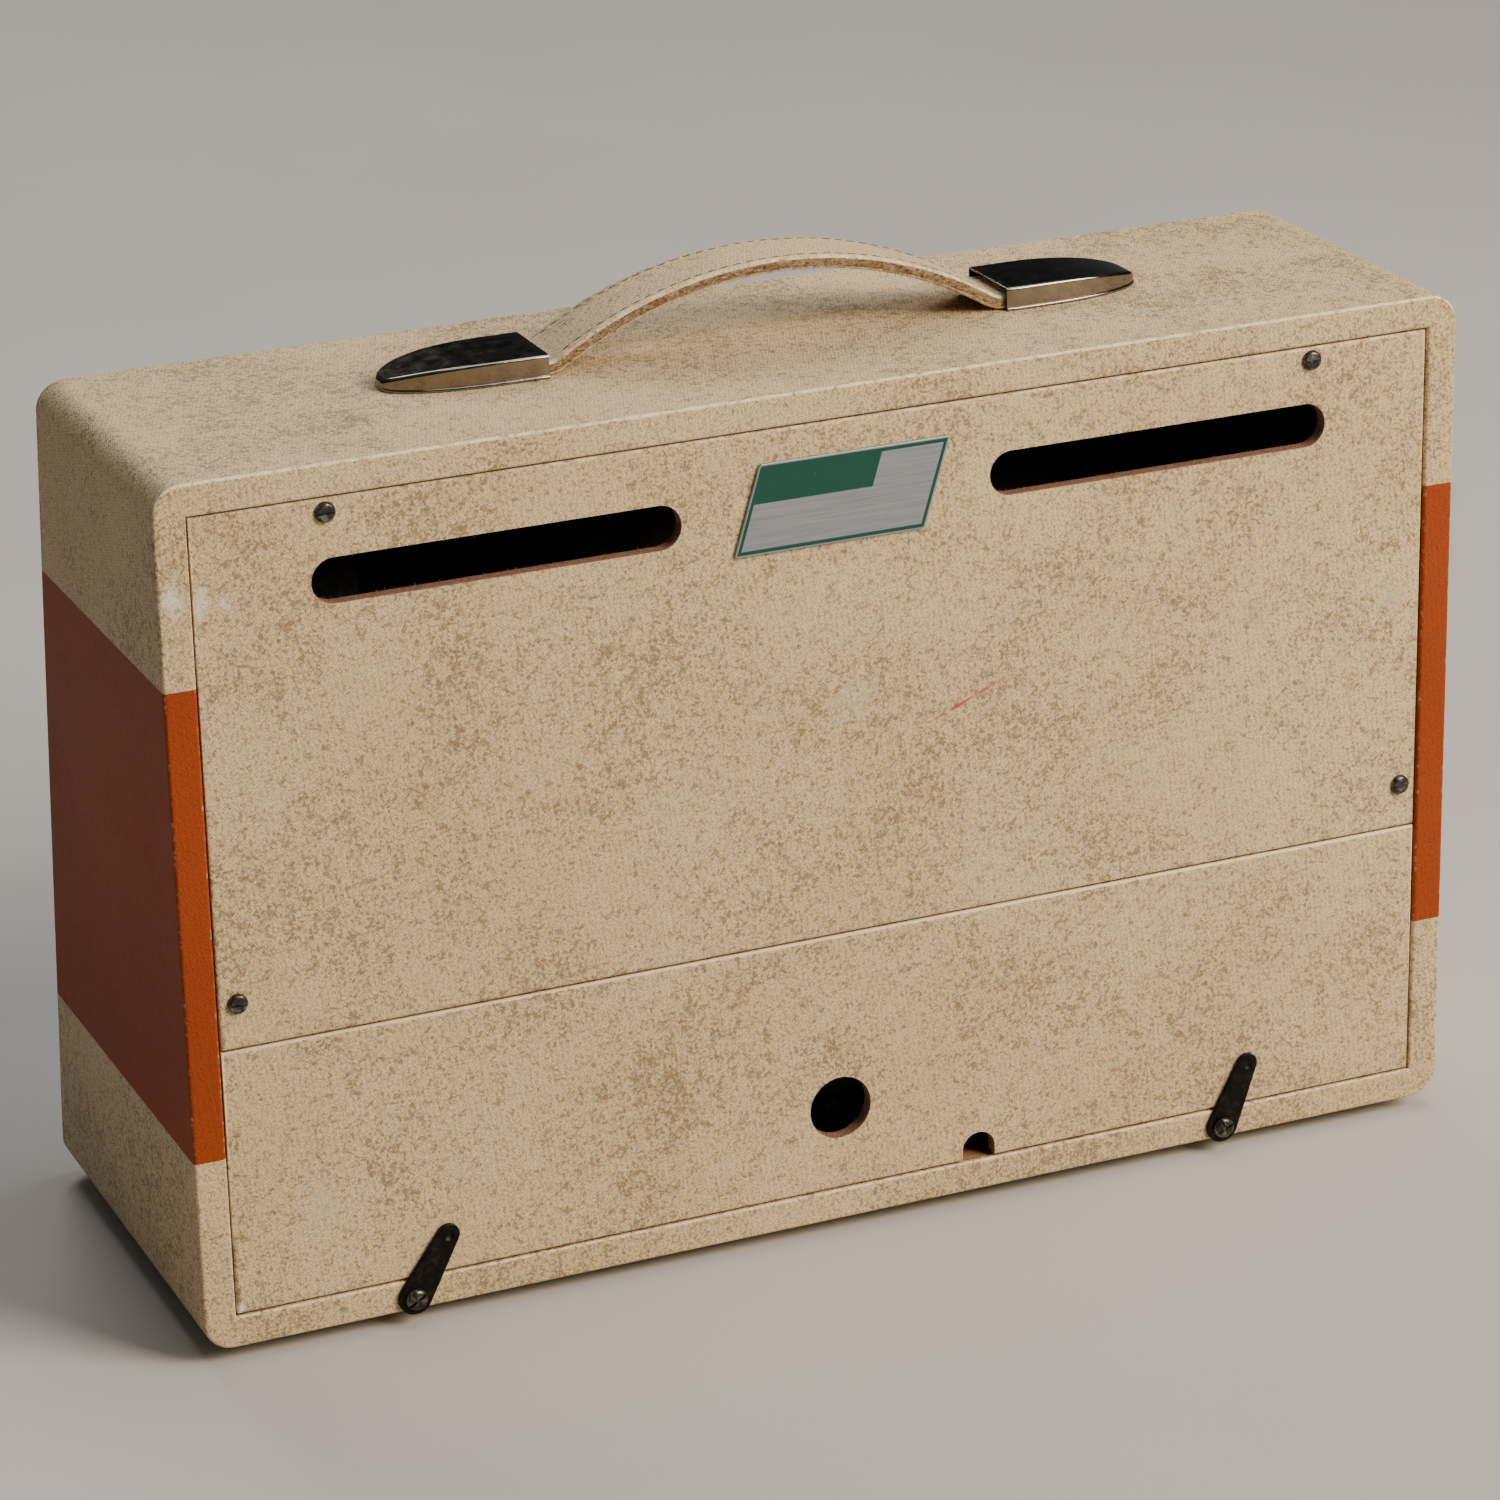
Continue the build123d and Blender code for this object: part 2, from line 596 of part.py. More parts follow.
def front_parts():
    edge = INNER_X - FRONT_GAP
    across = (-edge, edge)
    baffle = front_block(across, (BAFFLE_LOW, BAFFLE_HIGH), (BAFFLE_BACK_N, BAFFLE_N))
    for x in SPEAKERS.values():
        baffle -= on_front(rod(BAFFLE_HOLE_R, BAFFLE_BACK_N, BAFFLE_N), x, SPEAKER_T, 0)
        baffle -= [on_front(hole, x, SPEAKER_T, 0) for hole in speaker_bolt_holes()]
    save("baffle", baffle)
    face = BAFFLE_N + GRILLE_T
    save("grille_cloth", front_block(across, (BAFFLE_LOW, BAFFLE_HIGH), (BAFFLE_N, face)))
    inner = (-edge + BEAD_W, edge - BEAD_W)
    bead = front_block(across, (BAFFLE_LOW, BAFFLE_HIGH), (face, face + BEAD_T))
    bead -= front_block(inner, (BAFFLE_LOW + BEAD_W, BAFFLE_HIGH - BEAD_W), (face, face + BEAD_T))
    save("grille_beading", bead)
    deep = (BAFFLE_BACK_N - CLEAT, BAFFLE_BACK_N)
    cleats = [front_block(side, (BAFFLE_LOW, BAFFLE_HIGH - CLEAT), deep)
              for side in ((-INNER_X, CLEAT - INNER_X), (INNER_X - CLEAT, INNER_X))]
    cleats.append(front_block((-INNER_X, INNER_X), (BAFFLE_HIGH - CLEAT, BAFFLE_HIGH), deep))
    save("baffle_cleats", cleats)
    panel = front_block(across, (PANEL_LOW, PANEL_HIGH), (PANEL_BACK_N, BAFFLE_N))
    save("control_panel", panel - control_holes(WALL_BACK_N, 0))


def panel_nut(bush_r):
    """The nut that holds a bushing to the control panel, by depth n."""
    nut = hexagon(bush_r + NUT_WALL, BAFFLE_N, BAFFLE_N + NUT_T)
    return nut - rod(bush_r, BAFFLE_N, BAFFLE_N + NUT_T)


def knob():
    """A fluted knob on a skirt, bored for its shaft, on z = 0."""
    tall = KNOB_PROUD - BAFFLE_N - BUSH_OUT - KNOB_OFF
    skirt = chamfer(rod(KNOB_R, 0, KNOB_SKIRT).edges().group_by(Axis.Z)[-1], KNOB_SKIRT / 3)
    body = Pos(0, 0, (KNOB_SKIRT + tall) / 2) * Cone(KNOB_BODY_R, KNOB_TOP_R, tall - KNOB_SKIRT)
    body = fillet(body.edges().group_by(Axis.Z)[-1], KNOB_SKIRT / 2)
    for turn in range(KNOB_FLUTES):
        groove = Pos(KNOB_BODY_R, 0, 0) * rod(FLUTE_R, KNOB_SKIRT, tall)
        body -= Rot(0, 0, 360 / KNOB_FLUTES * (turn + 0.5)) * groove
    return skirt + body - rod(SHAFT_R, 0, tall - KNOB_SKIRT)


def knobs():
    bottom = BAFFLE_N + BUSH_OUT + KNOB_OFF
    pots = []
    shaft = rod(SHAFT_R, WALL_BACK_N - POT_T / 2, KNOB_PROUD - KNOB_SKIRT)
    for name, x in KNOBS.items():
        turned = [on_front(knob(), x, CONTROL_T, bottom), on_front(shaft, x, CONTROL_T, 0)]
        save(f"knob_{name}", turned)
        pot = rod(POT_R, WALL_BACK_N - POT_T, WALL_BACK_N)
        pot += rod(BUSH_R, WALL_BACK_N, BAFFLE_N + BUSH_OUT)
        pot -= rod(SHAFT_R + SHAFT_FIT, WALL_BACK_N - POT_T / 2 - SHAFT_FIT, 0)
        pots += [on_front(part, x, CONTROL_T, 0) for part in (pot, panel_nut(BUSH_R))]
    save("potentiometers", pots)


def input_jacks():
    jacks = []
    mouth = BAFFLE_N + BUSH_OUT
    half = JACK_BODY_W / 2
    for x in JACKS:
        jack = block((-half, half), (-half, half), (mouth - JACK_LENGTH, WALL_BACK_N))
        jack += rod(JACK_BUSH_R, WALL_BACK_N, mouth)
        jack -= rod(JACK_BORE_R, mouth - JACK_LENGTH, mouth)
        jacks += [on_front(part, x, CONTROL_T, 0) for part in (jack, panel_nut(JACK_BUSH_R))]
    save("input_jacks", jacks)


def toggle():
    """The mains switch: body and bushing, and a lever on a ball inside the bushing."""
    mouth = BAFFLE_N + TOGGLE_OUT
    body = block((-TOGGLE_W / 2, TOGGLE_W / 2), (-TOGGLE_L / 2, TOGGLE_L / 2),
                 (WALL_BACK_N - TOGGLE_DEEP, WALL_BACK_N))
    body += rod(TOGGLE_BUSH_R, WALL_BACK_N, mouth)
    body -= rod(TOGGLE_BORE_R, WALL_BACK_N, mouth)
    parts = (body, panel_nut(TOGGLE_BUSH_R))
    save("toggle_switch", [on_front(part, TOGGLE_X, CONTROL_T, 0) for part in parts])
    stem = Pos(0, 0, LEVER_LONG / 2) * Cone(LEVER_R, LEVER_TIP_R, LEVER_LONG)
    lever = Sphere(LEVER_BALL_R) + stem + Pos(0, 0, LEVER_LONG) * Sphere(LEVER_TIP_R)
    save("toggle_lever", on_front(Rot(-LEVER_TILT, 0, 0) * lever, TOGGLE_X, CONTROL_T,
                                  mouth - LEVER_BALL_R - 1))


def lamp():
    holder = ring(LAMP_R, LAMP_BORE_R, BAFFLE_N - LAMP_DEEP, BAFFLE_N)
    holder += ring(LAMP_R + LAMP_RIM, LAMP_BORE_R, BAFFLE_N, BAFFLE_N + NUT_T)
    save("lamp_holder", on_front(holder, LAMP_X, CONTROL_T, 0))
    jewel = rod(LAMP_BORE_R, BAFFLE_N - NUT_T, BAFFLE_N + LAMP_DOME)
    jewel = fillet(jewel.edges().group_by(Axis.Z)[-1], LAMP_DOME / 2)
    save("lamp_jewel", on_front(jewel, LAMP_X, CONTROL_T, 0))


# ---------------------------------------------------------------- chassis and what it carries

def chassis():
    """A folded channel, open below, with a flange along its back that is bolted down."""
    wall = PANEL_BACK_N
    under = DECK_Z - SHEET
    fold = Polyline((front_y(FLOOR_Z, wall), FLOOR_Z), (front_y(DECK_Z, wall), DECK_Z),
                    (CHASSIS_REAR, DECK_Z), (CHASSIS_REAR, FLOOR_Z + SHEET),
                    (CHASSIS_REAR + FLANGE, FLOOR_Z + SHEET), (CHASSIS_REAR + FLANGE, FLOOR_Z),
                    (CHASSIS_REAR - SHEET, FLOOR_Z), (CHASSIS_REAR - SHEET, under),
                    (front_y(under, WALL_BACK_N), under), (front_y(FLOOR_Z, WALL_BACK_N), FLOOR_Z),
                    close=True)
    start = Plane.YZ.offset(-CHASSIS_W / 2)
    body = extrude(start.location * make_face(fold), amount=CHASSIS_W)
    body -= control_holes(-2 * BATTEN, 0)
    bolt_y = CHASSIS_REAR + FLANGE / 2
    body -= [Pos(x, bolt_y, FLOOR_Z) * drill(CHASSIS_BOLT, BOLT_SINK) for x in CHASSIS_BOLTS]
    body -= [Pos(x, VALVE_Y, DECK_Z) * rod(HOLDER_BASE_R + HOLE_FIT, -SHEET, 0) for x in VALVES]
    save("chassis", body)
    bolt = Pos(0, bolt_y, FLOOR_Z + SHEET) * hex_bolt(CHASSIS_BOLT, SHEET + BOLT_SINK - SCREW_FIT)
    save("chassis_bolts", [Pos(x, 0, 0) * bolt for x in CHASSIS_BOLTS])


def valves():
    holders = []
    envelopes = []
    for x, tall in zip(VALVES, VALVE_TALL):
        place = Pos(x, VALVE_Y, DECK_Z)
        holders.append(place * (rod(HOLDER_R, 0, HOLDER_H) + rod(HOLDER_BASE_R, -HOLDER_BASE_H, 0)))
        glass = rod(VALVE_R, HOLDER_H, HOLDER_H + tall)
        glass = fillet(glass.edges().group_by(Axis.Z)[-1], VALVE_R * 0.7)
        envelopes.append(place * (glass + Pos(0, 0, HOLDER_H + tall) * Cone(2, 0.5, 4)))
    save("valve_holders", holders)
    save("valves", envelopes)


def transformer(scale):
    """A laminated core with two windows, and the winding round its middle limb, on z = 0."""
    wide, deep, high, limb = (scale * size for size in (CORE_W, CORE_D, CORE_H, CORE_LIMB))
    window = (wide - 4 * limb) / 2
    core = block((-wide / 2, wide / 2), (-deep / 2, deep / 2), (0, high))
    for side in (-1, 1):
        inner = sorted((side * limb, side * (limb + window)))
        core -= block(inner, (-deep, deep), (limb, high - limb))
    reach = scale * COIL_D / 2
    coil = block((-limb - window, limb + window), (-reach, reach), (limb, high - limb))
    coil -= block((-limb, limb), (-deep / 2, deep / 2), (0, high))
    return [core, fillet(coil.edges().filter_by(Axis.Z).group_by(
        lambda edge: abs(edge.center().Y))[-1], scale * limb / 2)]


def deck_parts():
    for name, x, scale in (("mains", MAINS_X, 1), ("output", -MAINS_X, OUTPUT_SCALE)):
        place = Pos(x, MAINS_Y, DECK_Z)
        save(f"{name}_transformer", [place * part for part in transformer(scale)])
    can = rod(CAN_R, 0, CAN_H)
    can = fillet(can.edges().group_by(Axis.Z)[-1], CAN_R / 8)
    save("smoothing_capacitor", Pos(0, CAN_Y, DECK_Z) * can)


def tag_board():
    """The wiring board under the deck: board, stand-offs and a row of components."""
    ceiling = DECK_Z - SHEET
    high = ceiling - STAND_H
    half = BOARD_L / 2
    deep = (BOARD_Y - BOARD_D / 2, BOARD_Y + BOARD_D / 2)
    parts = [block((-half, half), deep, (high - BOARD_T, high))]
    for side in (-1, 1):
        stand = rod(STAND_R, high, ceiling)
        parts.append(Pos(side * (half - 2 * STAND_R), BOARD_Y, 0) * stand)
    step = BOARD_L / PART_COUNT
    part = Rot(90, 0, 0) * rod(PART_R, -PART_L / 2, PART_L / 2)
    for place in range(PART_COUNT):
        x = step * (place + 0.5) - half
        parts.append(Pos(x, BOARD_Y, high - BOARD_T - PART_R) * part)
    save("tag_board", parts)


# ---------------------------------------------------------------- loudspeakers

def turned(*points):
    """A solid turned about Z from points given as radius and height."""
    outline = make_face(Polyline(*points, close=True))
    return revolve(Plane.XZ.location * outline, axis=Axis.Z)


def basket():
    """The pressed frame: flange, sloping wall with windows, and back plate, from its face."""
    back = -BASKET_DEEP
    body = ring(SPEAKER_R, FRAME_IN_R, -FRAME_T, 0)
    body += turned((BASKET_R - BASKET_WALL, -FRAME_T), (BASKET_R, -FRAME_T),
                   (BASKET_BACK_R, back), (BASKET_BACK_R - BASKET_WALL, back))
    body += ring(BASKET_BACK_R, AIR_R, back - FRAME_T, back)
    window = block((BASKET_BACK_R, SPEAKER_R), (-WINDOW_W / 2, WINDOW_W / 2),
                   (-WINDOW_END, -WINDOW_START))
    for turn in range(WINDOWS):
        body -= Rot(0, 0, 360 / WINDOWS * turn) * window
    return body


def wall_radius(depth):
    """The inner radius of the basket's wall at a depth behind its face."""
    share = (depth - FRAME_T) / (BASKET_DEEP - FRAME_T)
    return BASKET_R - BASKET_WALL - share * (BASKET_R - BASKET_BACK_R)


def cone():
    """A paper cone with a domed cap at its neck, its rim at z = 0."""
    neck = -CONE_DEEP
    slant = (CONE_R - COIL_OUT_R) / CONE_DEEP
    paper = turned((COIL_OUT_R, neck - CONE_T), (CONE_R, -CONE_T), (CONE_R, 0), (COIL_OUT_R, neck))
    edge = neck + (DOME_R - COIL_OUT_R) / slant
    lens_r = (DOME_R ** 2 + DOME_H ** 2) / (2 * DOME_H)
    ball = Pos(0, 0, edge + DOME_H - lens_r)
    shell = ball * Sphere(lens_r) - ball * Sphere(lens_r - CONE_T)
    return paper + (shell & rod(DOME_R, edge, edge + DOME_H))


def speaker(name, x):
    """One loudspeaker behind the baffle."""
    face = BAFFLE_BACK_N
    holes = speaker_bolt_holes()

    def place(shape, n):
        return on_front(shape, x, SPEAKER_T, n)

    frame = place(basket(), face) - [place(hole, 0) for hole in holes]
    save(f"speaker_frame_{name}", frame)
    back = face - BASKET_DEEP - FRAME_T
    magnet = rod(MAGNET_R, -MAGNET_T, 0) - ring(AIR_R, POLE_R, -AIR_DEEP, 0)
    save(f"speaker_magnet_{name}", place(magnet, back))
    rim = face - FRAME_T
    save(f"speaker_cone_{name}", place(cone(), rim))
    neck = rim - CONE_DEEP
    save(f"voice_coil_{name}", place(ring(COIL_OUT_R, COIL_IN_R, -COIL_LONG, 0), neck))
    surround_r = wall_radius(FRAME_T + SURROUND_T) - SCREW_FIT
    surround = place(ring(surround_r, CONE_R + RING_GAP, -SURROUND_T, 0), rim)
    depth = face - neck + SPIDER_BEHIND
    spider_r = wall_radius(depth + SPIDER_T) - SCREW_FIT
    spider = place(ring(spider_r, COIL_OUT_R + RING_GAP, -SPIDER_T, 0), face - depth)
    bolt = Rot(180, 0, 0) * hex_bolt(SPEAKER_BOLT, FRAME_T + SPEAKER_BOLT_SINK - SCREW_FIT)
    bolts = [place(Rot(0, 0, turn) * Pos(SPEAKER_BOLT_PCR, 0, 0) * bolt, rim)
             for turn in speaker_bolt_turns()]
    return surround, spider, bolts


def speakers():
    surrounds, spiders, bolts = [], [], []
    for name, x in SPEAKERS.items():
        surround, spider, four = speaker(name, x)
        surrounds.append(surround)
        spiders.append(spider)
        bolts += four
    save("speaker_surrounds", surrounds)
    save("speaker_spiders", spiders)
    save("speaker_bolts", bolts)


os.makedirs("parts", exist_ok=True)
case_parts()
glue_blocks()
back_parts()
blank_plate()
turn_buttons()
feet()
handle()
front_parts()
knobs()
input_jacks()
toggle()
lamp()
chassis()
valves()
deck_parts()
tag_board()
speakers()
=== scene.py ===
import json
import random
from math import atan2, cos, pi, radians, sin, sqrt, tan

import bmesh
import bpy
from mathutils import Matrix, Vector, noise


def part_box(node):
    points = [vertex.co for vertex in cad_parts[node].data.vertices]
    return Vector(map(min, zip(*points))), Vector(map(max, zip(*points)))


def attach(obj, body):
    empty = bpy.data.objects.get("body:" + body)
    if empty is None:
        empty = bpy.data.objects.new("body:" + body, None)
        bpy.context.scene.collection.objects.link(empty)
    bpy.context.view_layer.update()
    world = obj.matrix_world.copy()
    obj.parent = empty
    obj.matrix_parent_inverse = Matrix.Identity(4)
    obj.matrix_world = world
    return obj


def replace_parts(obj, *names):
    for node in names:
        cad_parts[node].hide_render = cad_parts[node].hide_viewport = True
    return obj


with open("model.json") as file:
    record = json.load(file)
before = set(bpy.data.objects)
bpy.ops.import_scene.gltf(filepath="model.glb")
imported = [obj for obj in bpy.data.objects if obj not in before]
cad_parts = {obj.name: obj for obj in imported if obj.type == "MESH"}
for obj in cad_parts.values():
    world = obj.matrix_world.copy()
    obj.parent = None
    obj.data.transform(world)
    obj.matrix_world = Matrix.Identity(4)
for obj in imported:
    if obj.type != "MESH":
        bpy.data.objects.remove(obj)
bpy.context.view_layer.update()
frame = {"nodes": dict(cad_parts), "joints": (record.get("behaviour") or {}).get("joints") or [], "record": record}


# ------------------------------------------------------------------ case boards and rails
# The case is four half-inch birch plywood boards, butted and glued, with softwood blocks in the
# corners, cleats for the baffle and battens for the back. It is all bare wood, darkened by age.

MM = 0.001


def paint(code):
    """A linear colour from an sRGB hex code."""
    parts = [int(code[i:i + 2], 16) / 255 for i in (1, 3, 5)]
    return [c / 12.92 if c <= 0.04045 else ((c + 0.055) / 1.055) ** 2.4 for c in parts] + [1.0]


def add(tree, kind, sockets=None, out=0, **settings):
    """Add a node with its settings, fill its sockets with values or with other nodes' outputs, and
    give back one of its own outputs."""
    node = tree.nodes.new("ShaderNode" + kind)
    for name, value in settings.items():
        setattr(node, name, value)
    for key, value in (sockets or {}).items():
        if isinstance(value, bpy.types.NodeSocket):
            tree.links.new(value, node.inputs[key])
        else:
            node.inputs[key].default_value = value
    return node.outputs[out] if node.outputs else None


def finish(name):
    """A new material by name, its empty node tree, and the object's own coordinates in it."""
    material = bpy.data.materials.new(name)
    material.use_nodes = True
    tree = material.node_tree
    tree.nodes.clear()
    return material, tree, add(tree, "TexCoord", out="Object")


def dress(material, *nodes):
    """Give CAD nodes this finish in place of their plain one."""
    for node in nodes:
        slots = frame["nodes"][node].data.materials
        slots.clear()
        slots.append(material)


def aged_plywood():
    """Rotary-cut birch plywood: long soft grain every few millimetres, dulled by dust."""
    material, tree, place = finish("aged birch plywood")
    along = add(tree, "Mapping", {"Vector": place, "Scale": (0.08, 1, 1)})
    grain = add(tree, "TexNoise", {"Vector": along, "Scale": 1 / (2.5 * MM), "Detail": 6,
                                   "Roughness": 0.6})
    colour = add(tree, "Mix", {0: grain, 6: paint("#7D5830"), 7: paint("#BE925C")}, out=2,
                 data_type="RGBA")
    bump = add(tree, "Bump", {"Height": grain, "Distance": 0.2 * MM})
    add(tree, "OutputMaterial", {0: add(tree, "BsdfPrincipled", {
        "Base Color": colour, "Roughness": 0.72, "Normal": bump})})
    return material


dress(aged_plywood(), "case_side_left", "case_side_right", "case_top", "case_bottom", "glue_blocks",
      "rear_battens", "mid_rail", "baffle_cleats")


# ------------------------------------------------------------------ leathercloth on the case
# Beige leathercloth covers the top, the bottom and the ends of the sides, with a band of orange
# leathercloth round each side. It is coated cotton, glued down and turned in over both rims. Along
# the rims it is painted pale: its coating rubbed through, and a painted highlight that is stronger
# on the edges that look upwards.

def coated_cotton(name, tones, flecks, worn, start, flecked, shine, marks=()):
    """Leathercloth: a grained coating with clustered flecks, painted pale where wear and highlight are
    high: the coating rubbed through, and a painted highlight.
    Each mark has a centre, half sizes (in millimetres), a tilt, a colour and a strength."""
    material, tree, place = finish(name)
    here = add(tree, "Mapping", {"Vector": place, "Location": start})
    cloud = add(tree, "TexNoise", {"Vector": here, "Scale": 1 / (45 * MM), "Detail": 3})
    mottle = add(tree, "TexNoise", {"Vector": here, "Scale": 1 / (5 * MM), "Detail": 4,
                                    "Roughness": 0.65})
    grains = add(tree, "TexNoise", {"Vector": here, "Scale": 1 / (1.5 * MM), "Detail": 2,
                                    "Roughness": 0.7, "Distortion": 0.5})
    total = add(tree, "Math", {0: cloud, 1: 0.42, 2: 0.0}, operation="MULTIPLY_ADD")
    total = add(tree, "Math", {0: mottle, 1: 0.75, 2: total}, operation="MULTIPLY_ADD")
    total = add(tree, "Math", {0: grains, 1: 1.15, 2: total}, operation="MULTIPLY_ADD")
    fleck = add(tree, "MapRange", {0: total, 1: flecked, 2: flecked + 0.24, 4: 0.72},
                interpolation_type="SMOOTHSTEP")
    tone = add(tree, "TexNoise", {"Vector": here, "Scale": 1 / (75 * MM), "Detail": 2})
    tone = add(tree, "MapRange", {0: tone, 1: 0.2, 2: 0.8})
    colour = add(tree, "Mix", {0: tone, 6: paint(tones[0]), 7: paint(tones[1])}, out=2,
                 data_type="RGBA")
    brown = add(tree, "Mix", {0: mottle, 6: paint(flecks[0]), 7: paint(flecks[1])}, out=2,
                data_type="RGBA")
    colour = add(tree, "Mix", {0: fleck, 6: colour, 7: brown}, out=2, data_type="RGBA")
    # Real thread spacing is 0.4 mm; drawn at 0.9 mm, so that it shows.
    turned = add(tree, "Mapping", {"Vector": here, "Rotation": (0.5, pi / 4, 0.6)})
    cell = add(tree, "TexVoronoi", {"Vector": turned, "Scale": 1 / (0.9 * MM), "Randomness": 0.6})
    pit = add(tree, "MapRange", {0: cell, 1: 0.3, 2: 0.75, 3: 0.0, 4: 0.52})
    colour = add(tree, "Mix", {0: pit, 6: colour, 7: brown}, out=2, data_type="RGBA")
    scrape = add(tree, "TexNoise", {"Vector": here, "Scale": 1 / (3.5 * MM), "Detail": 4,
                                    "Roughness": 0.7})
    for centre, size, tilt, tint, strength in marks:
        spot = add(tree, "Mapping", {
            "Vector": place, "Location": Vector(centre) * MM, "Scale": Vector(size) * MM,
            "Rotation": (0, radians(tilt), 0)}, vector_type="TEXTURE")
        reach = add(tree, "VectorMath", {0: spot}, out=1, operation="LENGTH")
        reach = add(tree, "Math", {0: scrape, 1: 2.6, 2: reach}, operation="MULTIPLY_ADD")
        inside = add(tree, "MapRange", {0: reach, 1: 2.2, 2: 1.6, 4: strength})
        colour = add(tree, "Mix", {0: inside, 6: colour, 7: paint(tint)}, out=2, data_type="RGBA")
    # Rims painted pale: the coating rubbed through, and a painted highlight.
    wear_and_highlight = add(tree, "Attribute", out="Fac", attribute_name="wear_and_highlight")
    reach = add(tree, "Math", {0: wear_and_highlight, 1: 0.3, 2: scrape}, operation="MULTIPLY_ADD")
    rubbed = add(tree, "MapRange", {0: reach, 1: 0.68, 2: 0.9}, interpolation_type="SMOOTHSTEP")
    rubbed = add(tree, "Math", {0: rubbed, 1: wear_and_highlight}, operation="MULTIPLY", use_clamp=True)
    colour = add(tree, "Mix", {0: rubbed, 6: colour, 7: paint(worn)}, out=2, data_type="RGBA")
    skin = add(tree, "TexNoise", {"Vector": here, "Scale": 1 / (4 * MM), "Detail": 3})
    height = add(tree, "Math", {0: skin, 1: 0.8, 2: cell}, operation="MULTIPLY_ADD")
    bump = add(tree, "Bump", {"Height": height, "Distance": 0.2 * MM, "Strength": 0.9})
    gloss = add(tree, "MapRange", {0: total, 1: flecked - 0.3, 2: flecked + 0.3, 3: shine,
                                   4: shine - 0.1})
    add(tree, "OutputMaterial", {0: add(tree, "BsdfPrincipled", {
        "Base Color": colour, "Roughness": gloss, "Normal": bump, "Specular IOR Level": 0.2})})
    return material


# The third colour is the rims' pale: rubbed coating, and a painted highlight.
beige = ("#EAD2A6", "#E1C799"), ("#6A543A", "#806748"), "#F4E2BC"
beige_cloth = coated_cotton("beige leathercloth", *beige, (0.31, 0.12, 0.23), 1.13, 0.62, marks=(
    ((249, 90, 292), (5, 8, 8), 8, "#E9E2D2", 0.7),
    ((-31, 52, 333), (5, 0.5, 3), 0, "#4A5A86", 0.6),
    ((-44, 47, 333), (2.4, 0.8, 3), 30, "#4A5A86", 0.6),
    ((-104, 44, 333), (5, 0.5, 3), 0, "#4A5A86", 0.4),
    ((201.7, 90, 12.4), (2.2, 3, 2.2), 0, "#6F7A5E", 0.8)))
orange_cloth = coated_cotton("orange leathercloth", ("#A04413", "#933B0F"), ("#742C0B", "#823510"),
                             "#D8B08C", (0.7, 0.4, 0.9), 1.3, 0.6)


def piece(name, bm, body, *materials, sharp=35, wall=0.0):
    """Make an object of a finished mesh that rides on a body. An open surface gets a wall inwards.
    It shades smooth but for its sharp edges, with its flat faces kept flat."""
    mesh = bpy.data.meshes.new(name)
    for face in bm.faces:
        face.smooth = True
    bm.to_mesh(mesh)
    bm.free()
    mesh.set_sharp_from_angle(angle=radians(sharp))
    for material in materials:
        mesh.materials.append(material)
    made = bpy.data.objects.new(name, mesh)
    bpy.context.scene.collection.objects.link(made)
    if wall:
        solid = made.modifiers.new("wall", "SOLIDIFY")
        solid.thickness = wall
        solid.offset = -1
        solid.use_even_offset = True
    if sharp < 180:
        made.modifiers.new("flat faces", "WEIGHTED_NORMAL").keep_sharp = True
    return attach(made, body)


def bevelled(bm, geom, radius, segments=4, affect="EDGES"):
    """Round these edges or corners."""
    bmesh.ops.bevel(bm, geom=geom, offset=radius, offset_type="OFFSET", affect=affect,
                    segments=segments, profile=0.5, material=-1)


def mark_wear(bm, upper, other):
    """Set wear and a painted highlight along the narrow rounded edges that turn over a front or back
    face: one strength for those that look upwards, and one for the others."""
    bm.normal_update()
    wear_and_highlight = bm.verts.layers.float.new("wear_and_highlight")
    flat_side, flat_face = 0.05, 0.988
    for vert in bm.verts:
        turning = all(flat_side < abs(face.normal.y) < flat_face for face in vert.link_faces)
        vert[wear_and_highlight] = (upper if vert.normal.z > 0.3 else other) if turning else 0.0


def clip_to(bm, point, normal):
    """Cut off what lies beyond a plane."""
    bmesh.ops.bisect_plane(bm, geom=bm.verts[:] + bm.edges[:] + bm.faces[:], plane_co=point,
                           plane_no=normal, clear_outer=True, dist=0.001 * MM)


RIGHT, BACK, UP = Vector((1, 0, 0)), Vector((0, 1, 0)), Vector((0, 0, 1))
SNAP = 0.01 * MM          # points as near as this are taken as one
out_of_front = Vector(next(j["axis"] for j in frame["joints"] if j["name"] == "knob_volume_turn"))
rake = atan2(out_of_front.z, -out_of_front.y)
case_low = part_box("cover_lower")[0]
case_high = Vector((*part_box("cover_lower")[1].xy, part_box("cover_upper")[1].z))
CORNER_R = 11 * MM
RIM_R = 1.3 * MM
CLOTH = 0.8 * MM
LIP = 0.12 * MM           # how far the turned-in cloth stands inside the opening
REAR_LIP = 3 * MM
FRONT_LIP = 14 * MM
inner_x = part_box("case_top")[1].x - LIP
inner_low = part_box("glue_blocks")[0].z + LIP
inner_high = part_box("glue_blocks")[1].z - LIP


def front_y(z):
    """y of the raked front at a height."""
    return case_low.y + (z - case_low.z) * tan(rake)


def on_rim(vert):
    """Whether a point lies on the flat rear rim or on the raked front one."""
    return (abs(vert.co.y - case_high.y) < SNAP
            or abs(vert.co.y - front_y(vert.co.z)) < SNAP)


